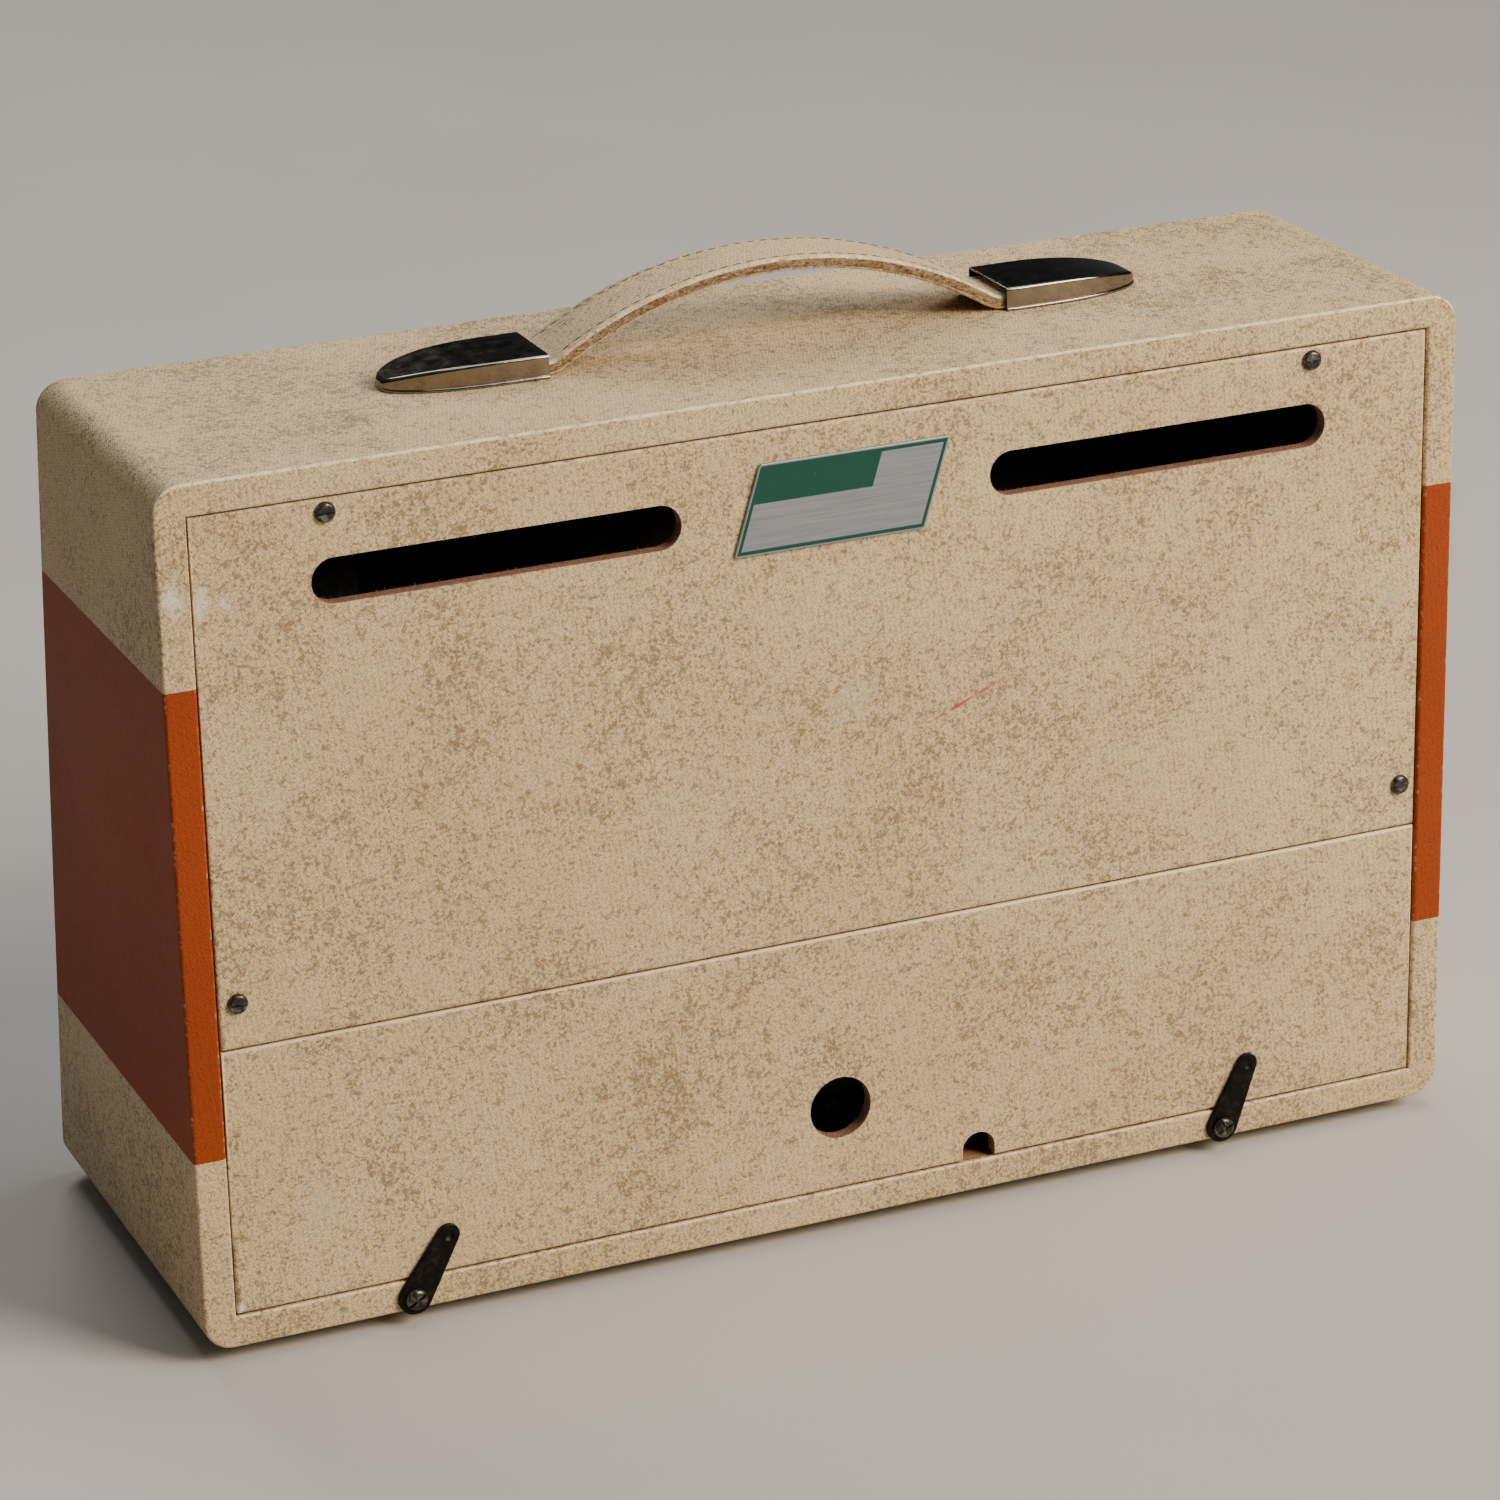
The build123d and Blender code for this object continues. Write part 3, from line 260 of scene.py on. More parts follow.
def case_tunnel():
    """The cloth's outer surface round the case, with both rims and the turned-in lips."""
    bm = bmesh.new()
    bmesh.ops.create_cube(bm, size=1)
    bmesh.ops.scale(bm, vec=case_high - case_low, verts=bm.verts)
    bmesh.ops.translate(bm, vec=(case_high + case_low) / 2, verts=bm.verts)
    along = [e for e in bm.edges if abs(e.verts[0].co.y - e.verts[1].co.y) > CORNER_R]
    bevelled(bm, along, CORNER_R, 10)
    clip_to(bm, case_low, out_of_front)
    bmesh.ops.holes_fill(bm, edges=[e for e in bm.edges if e.is_boundary])
    ends = [f for f in bm.faces if len(f.verts) > 8]    # the front and the rear, whole
    bmesh.ops.inset_individual(bm, faces=ends, thickness=CORNER_R - 0.5 * MM, use_even_offset=True)
    for vert in {v for f in ends for v in f.verts}:
        at_front = vert.co.y < 0
        vert.co.x = max(-inner_x, min(inner_x, vert.co.x * 2))
        vert.co.z = max(inner_low, min(inner_high, vert.co.z))
        if abs(vert.co.x) < inner_x:
            vert.co.x /= 2
        if at_front:
            vert.co.y = front_y(vert.co.z)
    lips = list(dict.fromkeys(e for f in ends for e in f.edges))
    bmesh.ops.delete(bm, geom=ends, context="FACES_ONLY")
    turned = bmesh.ops.extrude_edge_only(bm, edges=lips)["geom"]
    for vert in [v for v in turned if isinstance(v, bmesh.types.BMVert)]:
        vert.co.y += -REAR_LIP if vert.co.y > 0 else FRONT_LIP
    bmesh.ops.remove_doubles(bm, verts=bm.verts, dist=0.05 * MM)
    bmesh.ops.recalc_face_normals(bm, faces=bm.faces)
    rims = [e for e in bm.edges if e.is_manifold and e.calc_face_angle(0) > radians(50)
            and all(on_rim(v) for v in e.verts)]
    bevelled(bm, rims, RIM_R, 4)
    return bm


def case_cloth(name, material, replaced, *planes):
    """The part of the case's cloth that lies inside these cutting planes."""
    bm = case_tunnel()
    for point, normal in planes:
        clip_to(bm, point, normal)
    # The rims turn pale, more where they look upwards: rubbed coating, and a painted highlight.
    mark_wear(bm, 1.1, 0.58)
    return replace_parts(piece(name, bm, "case", material, wall=CLOTH), replaced)


TURN_IN = 20 * MM         # cloth turned in over the rims, both together
MIDDLE = Vector()
band_low = Vector((0, 0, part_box("cover_band_left")[0].z))
band_high = Vector((0, 0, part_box("cover_band_left")[1].z))
wide, deep = case_high.x - case_low.x, case_high.y - case_low.y
band_tall = band_high.z - band_low.z
below, above = band_low.z - case_low.z, case_high.z - band_high.z
band = [(band_low, -UP), (band_high, UP)]
cloths = [
    ("case_cloth_lower", beige_cloth, "cover_lower", (wide + 2 * below, deep + TURN_IN),
     [(band_low, UP)], "plain_cloth", "case_bottom"),
    ("case_cloth_upper", beige_cloth, "cover_upper", (wide + 2 * above, deep),
     [(band_high, -UP)], "plain_cloth", "case_top"),
    ("case_band_left", orange_cloth, "cover_band_left", (deep + TURN_IN, band_tall),
     band + [(MIDDLE, RIGHT)], "band_cloth", "case_side_left"),
    ("case_band_right", orange_cloth, "cover_band_right", (deep + TURN_IN, band_tall),
     band + [(MIDDLE, -RIGHT)], "band_cloth", "case_side_right")]
for name, material, replaced, flat, planes, slot, board in cloths:
    cloth = case_cloth(name, material, replaced, *planes)


# ------------------------------------------------------------------ back panels
# Two hardboard panels close the back, with beige leathercloth glued over their faces and round
# their edges. The vents, the finger hole and the lead's notch were sawn through afterwards, so
# their edges are bare fibre.

def two_toned(name, dark, light, grain, deep, shader, detail=4, rough=0.5):
    """A finish of two tones that drift into each other: how wide its grain is, how deep it lies,
    and the shader's own values."""
    material, tree, place = finish(name)
    drift = add(tree, "TexNoise", {"Vector": place, "Scale": 1 / grain, "Detail": detail,
                                   "Roughness": rough})
    colour = add(tree, "Mix", {0: drift, 6: paint(dark), 7: paint(light)}, out=2,
                 data_type="RGBA")
    shader = {**shader, "Base Color": colour}
    if deep:
        shader["Normal"] = add(tree, "Bump", {"Height": drift, "Distance": deep})
    add(tree, "OutputMaterial", {0: add(tree, "BsdfPrincipled", shader)})
    return material


# Hardboard is pressed wood fibre: pinkish brown, and woolly where it is cut.
hardboard = two_toned("raw hardboard", "#5A3320", "#B88A6E", 1.2 * MM, 0.8 * MM,
                      {"Roughness": 0.92}, detail=5, rough=0.7)
dress(hardboard, "back_panel_upper", "back_panel_lower", "baffle")
back_cloth = coated_cotton("beige leathercloth on the back", *beige, (0.13, 0.42, 0.05), 1.13, 0.6,
                           marks=(
    ((238.5, 90, 290), (3.4, 4, 9), -12, "#E4DCCB", 0.7),
    ((230.5, 90, 288), (2.6, 4, 3.4), 0, "#E4DCCB", 0.7),
    ((-51, 90, 205.5), (21, 4, 0.9), 22, "#C4472E", 0.9),
    ((-212.6, 90, 168), (0.5, 4, 12), 4, "#C4694E", 0.5),
    ((-3.6, 90, 213), (16, 4, 9), 20, "#D9CDB4", 0.4),
    ((-170, 90, 220), (6, 4, 9), 30, "#A9A08C", 0.4),
    ((-230, 90, 216), (5, 4, 7), -20, "#B7AE9A", 0.5),
    ((208, 90, 56), (10, 4, 12), 15, "#CFC3A9", 0.4),
    ((240.5, 90, 21), (2.6, 4, 2.6), 0, "#F2EDE0", 0.95)))


def merged_copy(node):
    """A CAD node's mesh with its loose triangles joined up."""
    bm = bmesh.new()
    bm.from_mesh(frame["nodes"][node].data)
    bmesh.ops.remove_doubles(bm, verts=bm.verts, dist=0.001 * MM)
    return bm


for end in ("upper", "lower"):
    node = f"back_cover_{end}"
    bm = merged_copy(node)
    # The rims turn pale, most on the lower cover's upper rim under the split: rubbed coating, and a painted
    # highlight.
    mark_wear(bm, 1.4 if end == "lower" else 0.9, 0.55)
    cover = piece(f"back_cloth_{end}", bm, "case", back_cloth)
    low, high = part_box(node)
    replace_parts(cover, node)


def fibre(bm, chance, foot, away, longest):
    """Add one loose fibre that stands out of a surface, and give back its vertices."""
    length = chance.uniform(0.3, 1) * longest
    made = bmesh.ops.create_cone(bm, segments=4, cap_ends=True, radius1=0.1 * MM,
                                 radius2=0.04 * MM, depth=length)["verts"]
    aim = away + Vector([chance.uniform(-0.8, 0.8) for _ in range(3)])
    bmesh.ops.rotate(bm, matrix=aim.to_track_quat("Z", "Y").to_matrix(), verts=made)
    bmesh.ops.translate(bm, vec=foot + aim.normalized() * length * 0.4, verts=made)
    return made


FUZZ = 0.35 / MM ** 2     # fibres on a square metre of sawn edge
NEAR_OPENING = 11 * MM
openings = [[Vector(corner) for corner in opening["box_m"]]
            for opening in frame["record"]["physics"]["openings"]
            if opening["name"].split("_")[0] in ("vent", "finger", "lead")]
bm = bmesh.new()
chance = random.Random(7)
for end in ("upper", "lower"):
    board = merged_copy(f"back_panel_{end}")
    bmesh.ops.triangulate(board, faces=board.faces)
    for face in board.faces:
        middle = face.calc_center_median()
        sawn = abs(face.normal.y) < 0.1 and any(
            low.x - NEAR_OPENING < middle.x < high.x + NEAR_OPENING
            and low.z - NEAR_OPENING < middle.z < high.z + NEAR_OPENING for low, high in openings)
        count = face.calc_area() * FUZZ * sawn
        for _ in range(int(count + chance.random())):
            share, other = sorted((chance.random(), chance.random()))
            a, b, c = [vert.co for vert in face.verts]
            foot = a * share + b * (other - share) + c * (1 - other)
            fibre(bm, chance, foot, face.normal, 1.7 * MM)
    board.free()
piece("back_panel_fibres", bm, "case", hardboard)


# ------------------------------------------------------------------ steel screws and turn buttons
# Raised-head wood screws hold the upper panel. Two pressed turn buttons on the lower rim hold the
# bottom one, each on a cross-head screw. All are chemically blackened mild steel, rubbed brown and
# bright on the high places.

def blackened_steel(name, dark, rubbed, rough):
    """Oil-blackened steel: near black, with brown bloom and bare specks."""
    material, tree, place = finish(name)
    bloom = add(tree, "TexNoise", {"Vector": place, "Scale": 1 / (3.5 * MM), "Detail": 6,
                                   "Roughness": 0.7})
    specks = add(tree, "TexNoise", {"Vector": place, "Scale": 1 / (0.7 * MM), "Detail": 3})
    worn = add(tree, "MapRange", {0: bloom, 1: 0.46, 2: 0.7}, interpolation_type="SMOOTHSTEP")
    colour = add(tree, "Mix", {0: worn, 6: paint(dark), 7: paint(rubbed)}, out=2, data_type="RGBA")
    gloss = add(tree, "MapRange", {0: specks, 3: rough, 4: rough + 0.28})
    bump = add(tree, "Bump", {"Height": specks, "Distance": 0.05 * MM})
    add(tree, "OutputMaterial", {0: add(tree, "BsdfPrincipled", {
        "Base Color": colour, "Metallic": 0.85, "Roughness": gloss, "Normal": bump})})
    return material


dress(blackened_steel("blackened steel plate", "#171615", "#352D26", 0.34), "turn_button_left",
      "turn_button_right")
dress(blackened_steel("blackened steel screws", "#3B3836", "#8F8A84", 0.2), "turn_button_screws",
      "back_panel_screws", "foot_screws")


# ------------------------------------------------------------------ plate on the upper panel
# A thin leaning aluminium plate is fixed in the middle of the upper panel. Its border and its
# upper field are green enamel, and the rest is brushed metal left bare.

def brushed_aluminium(name, dark, light):
    """Aluminium brushed along its length: fine streaks, soft gloss."""
    material, tree, place = finish(name)
    drawn = add(tree, "Mapping", {"Vector": place, "Scale": (0.03, 1, 1)})
    streaks = add(tree, "TexNoise", {"Vector": drawn, "Scale": 1 / (0.7 * MM), "Detail": 4})
    smear = add(tree, "TexNoise", {"Vector": place, "Scale": 1 / (12 * MM), "Detail": 4})
    colour = add(tree, "Mix", {0: streaks, 6: paint(dark), 7: paint(light)}, out=2,
                 data_type="RGBA")
    gloss = add(tree, "MapRange", {0: smear, 1: 0.3, 2: 0.7, 3: 0.34, 4: 0.44})
    bump = add(tree, "Bump", {"Height": streaks, "Distance": 0.03 * MM})
    add(tree, "OutputMaterial", {0: add(tree, "BsdfPrincipled", {
        "Base Color": colour, "Metallic": 0.9, "Roughness": gloss, "Normal": bump})})
    return material


def green_enamel():
    """Stoved enamel on aluminium: deep green, glossy, with small chips."""
    material, tree, place = finish("green stoved enamel")
    chips = add(tree, "TexNoise", {"Vector": place, "Scale": 1 / (1.4 * MM), "Detail": 4,
                                   "Roughness": 0.7})
    lost = add(tree, "MapRange", {0: chips, 1: 0.7, 2: 0.74})
    colour = add(tree, "Mix", {0: lost, 6: paint("#07463A"), 7: paint("#A9ADA8")}, out=2,
                 data_type="RGBA")
    bump = add(tree, "Bump", {"Height": chips, "Distance": 0.03 * MM})
    add(tree, "OutputMaterial", {0: add(tree, "BsdfPrincipled", {
        "Base Color": colour, "Roughness": 0.34, "Normal": bump, "Specular IOR Level": 0.35})})
    return material


PLATE_LEAN = 10.5 * MM    # from the bottom edge to the top one, along the plate
PLATE_R = 1.2 * MM
PLATE_RIM_R = 0.25 * MM
PLATE_EDGE = 0.5 * MM     # bare metal outside the border
BORDER = 1.6 * MM
FIELD = 12.5 * MM         # depth of the green upper field
FIELD_END = 11 * MM       # from the plate's middle to that field's end
plate_low, plate_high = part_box("blank_plate")
plate_middle = (plate_low + plate_high) / 2
plate_tall = plate_high.z - plate_low.z
plate_wide = plate_high.x - plate_low.x - PLATE_LEAN
seam = plate_high.z - PLATE_EDGE - BORDER - FIELD


def plate_on_back():
    """The plate: a leaning four-sided sheet with a bare edge, a border and two fields."""
    bm = bmesh.new()
    bmesh.ops.create_grid(bm, x_segments=1, y_segments=1, size=0.5)
    bmesh.ops.scale(bm, vec=(plate_wide, plate_tall, 1), verts=bm.verts)
    lean = Matrix(((1, -PLATE_LEAN / plate_tall, 0), (0, 1, 0), (0, 0, 1))).to_4x4()
    bmesh.ops.transform(bm, matrix=lean, verts=bm.verts)
    bevelled(bm, bm.verts[:], PLATE_R, 5, affect="VERTICES")
    bmesh.ops.rotate(bm, matrix=Matrix.Rotation(pi / 2, 3, "X"), verts=bm.verts)
    foot = Vector((plate_middle.x, plate_low.y, plate_middle.z))
    bmesh.ops.translate(bm, vec=foot, verts=bm.verts)
    raised = bmesh.ops.extrude_face_region(bm, geom=bm.faces[:])["geom"]
    raised = [v for v in raised if isinstance(v, bmesh.types.BMVert)]
    bmesh.ops.translate(bm, vec=BACK * (plate_high.y - plate_low.y), verts=raised)
    bmesh.ops.recalc_face_normals(bm, faces=bm.faces)
    face = max(bm.faces, key=lambda f: f.normal.y)
    bevelled(bm, list(face.edges), PLATE_RIM_R, 3)
    face = max(bm.faces, key=lambda f: f.normal.y * f.calc_area())
    bmesh.ops.inset_individual(bm, faces=[face], thickness=PLATE_EDGE, use_even_offset=True)
    side = Vector((1, 0, PLATE_LEAN / plate_tall)).normalized()
    inside_x, inside_z = plate_wide / 2 - PLATE_EDGE - BORDER, plate_tall / 2 - PLATE_EDGE - BORDER
    cuts = [(plate_middle + RIGHT * inside_x, side), (plate_middle - RIGHT * inside_x, side),
            (plate_middle - RIGHT * FIELD_END, side),
            (plate_middle + UP * inside_z, UP), (plate_middle - UP * inside_z, UP),
            (Vector((0, 0, seam)), UP)]
    parts = [face]
    for point, normal in cuts:
        geom = [g for f in parts for g in (f, *f.edges, *f.verts)]
        cut = bmesh.ops.bisect_plane(bm, geom=list(dict.fromkeys(geom)), plane_co=point,
                                     plane_no=normal)
        parts = [f for f in cut["geom"] if isinstance(f, bmesh.types.BMFace)]
    for part in parts:
        away = part.calc_center_median() - plate_middle
        across = away.x + away.z * PLATE_LEAN / plate_tall
        bare = (abs(across) < inside_x and abs(away.z) < inside_z
                and (away.z < seam - plate_middle.z or across < -FIELD_END))
        part.material_index = 0 if bare else 1
    return bm


plate = piece("blank_plate_enamelled", plate_on_back(), "case",
              brushed_aluminium("brushed aluminium", "#80878D", "#B0B7BE"), green_enamel())
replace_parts(plate, "blank_plate")


# ------------------------------------------------------------------ feet
# Four round feet, moulded in black rubber. Each is screwed up into the bottom board, near a
# corner, and its screw's head is sunk in it.

# Moulded rubber is matt black, greyed by dust.
dress(two_toned("moulded rubber", "#121212", "#33302C", 3 * MM, 0.1 * MM, {"Roughness": 0.85}),
      "feet")


# ------------------------------------------------------------------ handle caps
# Two caps hold the strap down. Each is pressed from thin brass sheet, nickel plated and polished.
# It is open below and at its mouth, narrows to a point like a boat's bow, and has a rolled bead
# along its foot.

def old_nickel():
    """Polished nickel plate: a dark mirror, hazed and spotted by handling."""
    material, tree, place = finish("old nickel plate")
    haze = add(tree, "TexNoise", {"Vector": place, "Scale": 1 / (6 * MM), "Detail": 5,
                                  "Roughness": 0.65})
    colour = add(tree, "Mix", {0: haze, 6: paint("#6E675E"), 7: paint("#9C9283")}, out=2,
                 data_type="RGBA")
    gloss = add(tree, "MapRange", {0: haze, 1: 0.3, 2: 0.7, 3: 0.07, 4: 0.2})
    bump = add(tree, "Bump", {"Height": haze, "Distance": 0.02 * MM})
    add(tree, "OutputMaterial", {0: add(tree, "BsdfPrincipled", {
        "Base Color": colour, "Metallic": 1.0, "Roughness": gloss, "Normal": bump})})
    return material


nickel = old_nickel()
dress(nickel, "lamp_holder", "toggle_switch", "toggle_lever")
CAP_STATIONS = 16
CAP_SHOULDER = 0.30       # where the cap starts to narrow, as a share of its length
CAP_NOSE = 0.10           # its width and its height at the nose, as shares
CAP_NOSE_HIGH = 0.34
CAP_RIDGE_R = 1.2 * MM
BEAD = 1.4 * MM           # height of the bead
BEAD_STEPS = ((0.25, 0.05), (0.2, 0.2), (0.05, 0.3), (-0.1, 0.3), (-0.2, 0.15))
SHEET_METAL = 0.8 * MM


def narrowed(share, least):
    """What is left of the cap's width or height at a share of its length."""
    along = max(0.0, (share - CAP_SHOULDER) / (1 - CAP_SHOULDER))
    return 1 - (1 - least) * (1 - sqrt(max(0.0, 1 - along ** 2)))


def handle_cap(node, side):
    """A pressed cap that narrows away from the strap, towards -X or +X by its side."""
    low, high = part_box(node)
    bm = bmesh.new()
    bmesh.ops.create_cube(bm, size=1)
    bmesh.ops.translate(bm, vec=(0.5, 0, 0.5), verts=bm.verts)
    for station in range(1, CAP_STATIONS):
        geom = bm.verts[:] + bm.edges[:] + bm.faces[:]
        place = sin(station / CAP_STATIONS * pi / 2)
        bmesh.ops.bisect_plane(bm, geom=geom, plane_co=(place, 0, 0), plane_no=RIGHT)
    for vert in bm.verts:
        share = vert.co.x
        vert.co.y *= narrowed(share, CAP_NOSE)
        vert.co.z *= narrowed(share, CAP_NOSE_HIGH)
    hidden = [f for f in bm.faces if f.normal.z < -0.9 or f.normal.x < -0.9]
    bmesh.ops.delete(bm, geom=hidden, context="FACES")
    bmesh.ops.scale(bm, vec=high - low, verts=bm.verts)
    bmesh.ops.recalc_face_normals(bm, faces=bm.faces)
    ridge = [e for e in bm.edges if e.is_manifold and e.calc_face_angle(0) > radians(40)]
    bevelled(bm, ridge, CAP_RIDGE_R, 5)
    foot = [e for e in bm.edges if e.is_boundary and all(v.co.z < 0.1 * MM for v in e.verts)]
    lowest = {v for e in foot for v in e.verts}
    bmesh.ops.translate(bm, vec=UP * BEAD, verts=list(lowest))
    for outwards, down in BEAD_STEPS:
        ring = bmesh.ops.extrude_edge_only(bm, edges=foot)["geom"]
        foot = [e for e in ring if isinstance(e, bmesh.types.BMEdge)]
        for vert in [v for v in ring if isinstance(v, bmesh.types.BMVert)]:
            vert.co += Vector((0, vert.co.y, 0)).normalized() * outwards * BEAD - UP * down * BEAD
    bmesh.ops.rotate(bm, matrix=Matrix.Rotation(0 if side > 0 else pi, 3, "Z"), verts=bm.verts)
    mouth = low.x if side > 0 else high.x
    bmesh.ops.translate(bm, vec=(mouth, (low.y + high.y) / 2, low.z), verts=bm.verts)
    made = piece(node + "_pressed", bm, "case", nickel, sharp=50, wall=SHEET_METAL)
    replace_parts(made, node)
    return made


for node, side in (("handle_cap_left", -1), ("handle_cap_right", 1)):
    handle_cap(node, side)


# ------------------------------------------------------------------ handle strap
# A springy core wrapped in beige leathercloth, folded over at both edges and sewn through with two
# rows of dark thread. Each end lies flat in its cap and turns up at the mouth, and the rest is one
# long arch. The folded edges have rubbed pale, and their sides are rough.

def frayed_canvas():
    """The cloth's cotton backing, laid bare along the strap's sides: brown, dry and fibrous."""
    material, tree, place = finish("frayed cotton backing")
    along = add(tree, "Mapping", {"Vector": place, "Scale": (0.5, 1, 1)})
    fibre = add(tree, "TexNoise", {"Vector": along, "Scale": 1 / (0.9 * MM), "Detail": 5,
                                   "Roughness": 0.75})
    patch = add(tree, "TexNoise", {"Vector": place, "Scale": 1 / (9 * MM), "Detail": 3})
    light = add(tree, "MapRange", {0: fibre, 1: 0.38, 2: 0.62})
    colour = add(tree, "Mix", {0: light, 6: paint("#5C4128"), 7: paint("#C2A57C")}, out=2,
                 data_type="RGBA")
    rubbed = add(tree, "MapRange", {0: patch, 1: 0.5, 2: 0.66, 4: 0.45})
    colour = add(tree, "Mix", {0: rubbed, 6: colour, 7: paint("#84512C")}, out=2, data_type="RGBA")
    bump = add(tree, "Bump", {"Height": fibre, "Distance": 1.2 * MM})
    add(tree, "OutputMaterial", {0: add(tree, "BsdfPrincipled", {
        "Base Color": colour, "Roughness": 0.9, "Normal": bump})})
    return material


STRAP_T = 5.5 * MM
STRAP_EDGE_R = 1.9 * MM
BEND_R = 12 * MM
BEND_STEPS, ARCH_STEPS, ACROSS_STEPS = 5, 170, 27
SEAM_IN = 3.6 * MM        # from the strap's edge to its stitches
STITCH_PITCH = 5 * MM
STITCH = Vector((4.0, 0.9, 0.6)) * MM
STITCH_SUNK = 0.32 * MM   # from the strap's plain surface to a stitch's middle
strap_low, strap_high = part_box("handle_strap")
strap_middle = (strap_low + strap_high) / 2
strap_wide = strap_high.y - strap_low.y
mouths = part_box("handle_cap_left")[1].x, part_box("handle_cap_right")[0].x
half_span = (mouths[1] - mouths[0]) / 2
tuck = (strap_high.x - strap_low.x) / 2 - half_span
rise = strap_high.z - strap_low.z - STRAP_T
turn_up = 2 * atan2(rise, half_span)
arch_r = half_span / sin(turn_up) - BEND_R
flat_z = strap_low.z + STRAP_T / 2
arch_centre = Vector((strap_middle.x, strap_middle.y, flat_z + rise - arch_r))
seam_y = strap_wide / 2 - SEAM_IN


def strap_surface(vert):
    """How far the cloth stands out of the plain section here: creases, seams and rough sides."""
    across = vert.co.y - strap_middle.y
    place = vert.co / MM
    swell = 0.16 * noise.noise(place / 9) + 0.06 * noise.noise(place / 3.5) - 0.15
    if abs(vert.normal.y) > 0.6:
        return swell + 0.3 * noise.noise(place / 2.2) + 0.14 * noise.noise(place / 1.1)
    from_seam = abs(abs(across) - seam_y) / MM
    turned = atan2(vert.co.x - arch_centre.x, vert.co.z - arch_centre.z) * arch_r
    pull = 0.85 + 0.15 * cos(2 * pi * turned / STITCH_PITCH)
    return swell - 0.26 * pull * max(0.0, 1 - from_seam / 2.4) ** 2


def strap():
    """The strap's section, drawn out flat in a cap, up round the bend, over the arch and back."""
    bm = bmesh.new()
    bmesh.ops.create_grid(bm, x_segments=1, y_segments=1, size=0.5)
    bmesh.ops.scale(bm, vec=(STRAP_T, strap_wide, 1), verts=bm.verts)
    bevelled(bm, bm.verts[:], STRAP_EDGE_R, 4, affect="VERTICES")
    broad = [e for e in bm.edges if e.calc_length() > strap_wide / 2]
    side = [e for e in bm.edges if e not in broad and e.calc_length() > 1.2 * MM]
    bmesh.ops.subdivide_edges(bm, edges=broad, cuts=ACROSS_STEPS)
    bmesh.ops.subdivide_edges(bm, edges=side, cuts=2)
    bmesh.ops.rotate(bm, matrix=Matrix.Rotation(pi / 2, 3, "Y"), verts=bm.verts)
    start = Vector((strap_low.x, strap_middle.y, flat_z))
    bmesh.ops.translate(bm, vec=start, verts=bm.verts)
    bmesh.ops.delete(bm, geom=bm.faces[:], context="FACES_ONLY")
    last = bm.edges[:]

    def straight():
        ring = bmesh.ops.extrude_edge_only(bm, edges=last)["geom"]
        moved = [v for v in ring if isinstance(v, bmesh.types.BMVert)]
        bmesh.ops.translate(bm, vec=RIGHT * tuck, verts=moved)
        return [e for e in ring if isinstance(e, bmesh.types.BMEdge)]

    def curve(centre, axis, angle, steps):
        ring = bmesh.ops.spin(bm, geom=last, cent=centre, axis=axis, angle=angle, steps=steps,
                              use_duplicate=False, dvec=MIDDLE)["geom_last"]
        return [e for e in ring if isinstance(e, bmesh.types.BMEdge)]

    last = straight()
    last = curve(Vector((mouths[0], strap_middle.y, flat_z + BEND_R)), -BACK, turn_up, BEND_STEPS)
    last = curve(arch_centre, BACK, 2 * turn_up, ARCH_STEPS)
    last = curve(Vector((mouths[1], strap_middle.y, flat_z + BEND_R)), -BACK, turn_up, BEND_STEPS)
    last = straight()
    bmesh.ops.holes_fill(bm, edges=[e for e in bm.edges if e.is_boundary])
    bmesh.ops.recalc_face_normals(bm, faces=bm.faces)
    bm.normal_update()
    wear_and_highlight = bm.verts.layers.float.new("wear_and_highlight")
    moves = []
    for vert in bm.verts:
        across = abs(vert.co.y - strap_middle.y)
        vert[wear_and_highlight] = max(0.0, min(0.9, (across - seam_y - 1 * MM) / (1.6 * MM)))
        inside_cap = not mouths[0] < vert.co.x < mouths[1]
        moves.append(0.0 if inside_cap else strap_surface(vert) * MM)
    for vert, move in zip(bm.verts, moves):
        vert.co += vert.normal * move
    for face in bm.faces:
        face.material_index = int(abs(face.normal.y) > 0.9)
    return bm


def stitches():
    """Two rows of thread over the strap and two under it, sunk a little into the cloth."""
    bm = bmesh.new()
    count = int(turn_up * arch_r / STITCH_PITCH)
    for side in (-1, 1):
        for face in (-1, 1):
            for step in range(-count, count + 1):
                made = bmesh.ops.create_uvsphere(bm, u_segments=8, v_segments=5,
                                                 radius=0.5)["verts"]
                bmesh.ops.scale(bm, vec=STITCH, verts=made)
                radius = arch_r + face * (STRAP_T / 2 - STITCH_SUNK)
                place = arch_centre + BACK * side * seam_y + UP * radius
                bmesh.ops.translate(bm, vec=place, verts=made)
                lean = Matrix.Rotation(step * STITCH_PITCH / arch_r, 3, "Y")
                bmesh.ops.rotate(bm, cent=arch_centre, matrix=lean, verts=made)
    return bm


strap_cloth = coated_cotton("beige leathercloth on the strap", *beige, (0.9, 0.66, 0.37), 1.2, 0.7,
                            marks=(((-4, 33, 361), (6, 3, 4), 10, "#9C5A2A", 0.9),
                                   ((85, 31, 339), (5, 5, 5), 0, "#8C9880", 0.7),
                                   ((-93, 31, 339), (5, 5, 5), 0, "#8C9880", 0.7)))
band = piece("handle_strap_sewn", strap(), "case", strap_cloth, frayed_canvas(), sharp=180)
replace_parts(band, "handle_strap")
# Waxed linen thread is two plies twisted, dark purple-brown.
thread = two_toned("waxed linen thread", "#2F2226", "#6B5450", 0.5 * MM, 0.1 * MM,
                   {"Roughness": 0.7}, detail=2)
piece("handle_strap_stitches", stitches(), "case", thread)


FRAYED = 420              # loose fibres on the strap


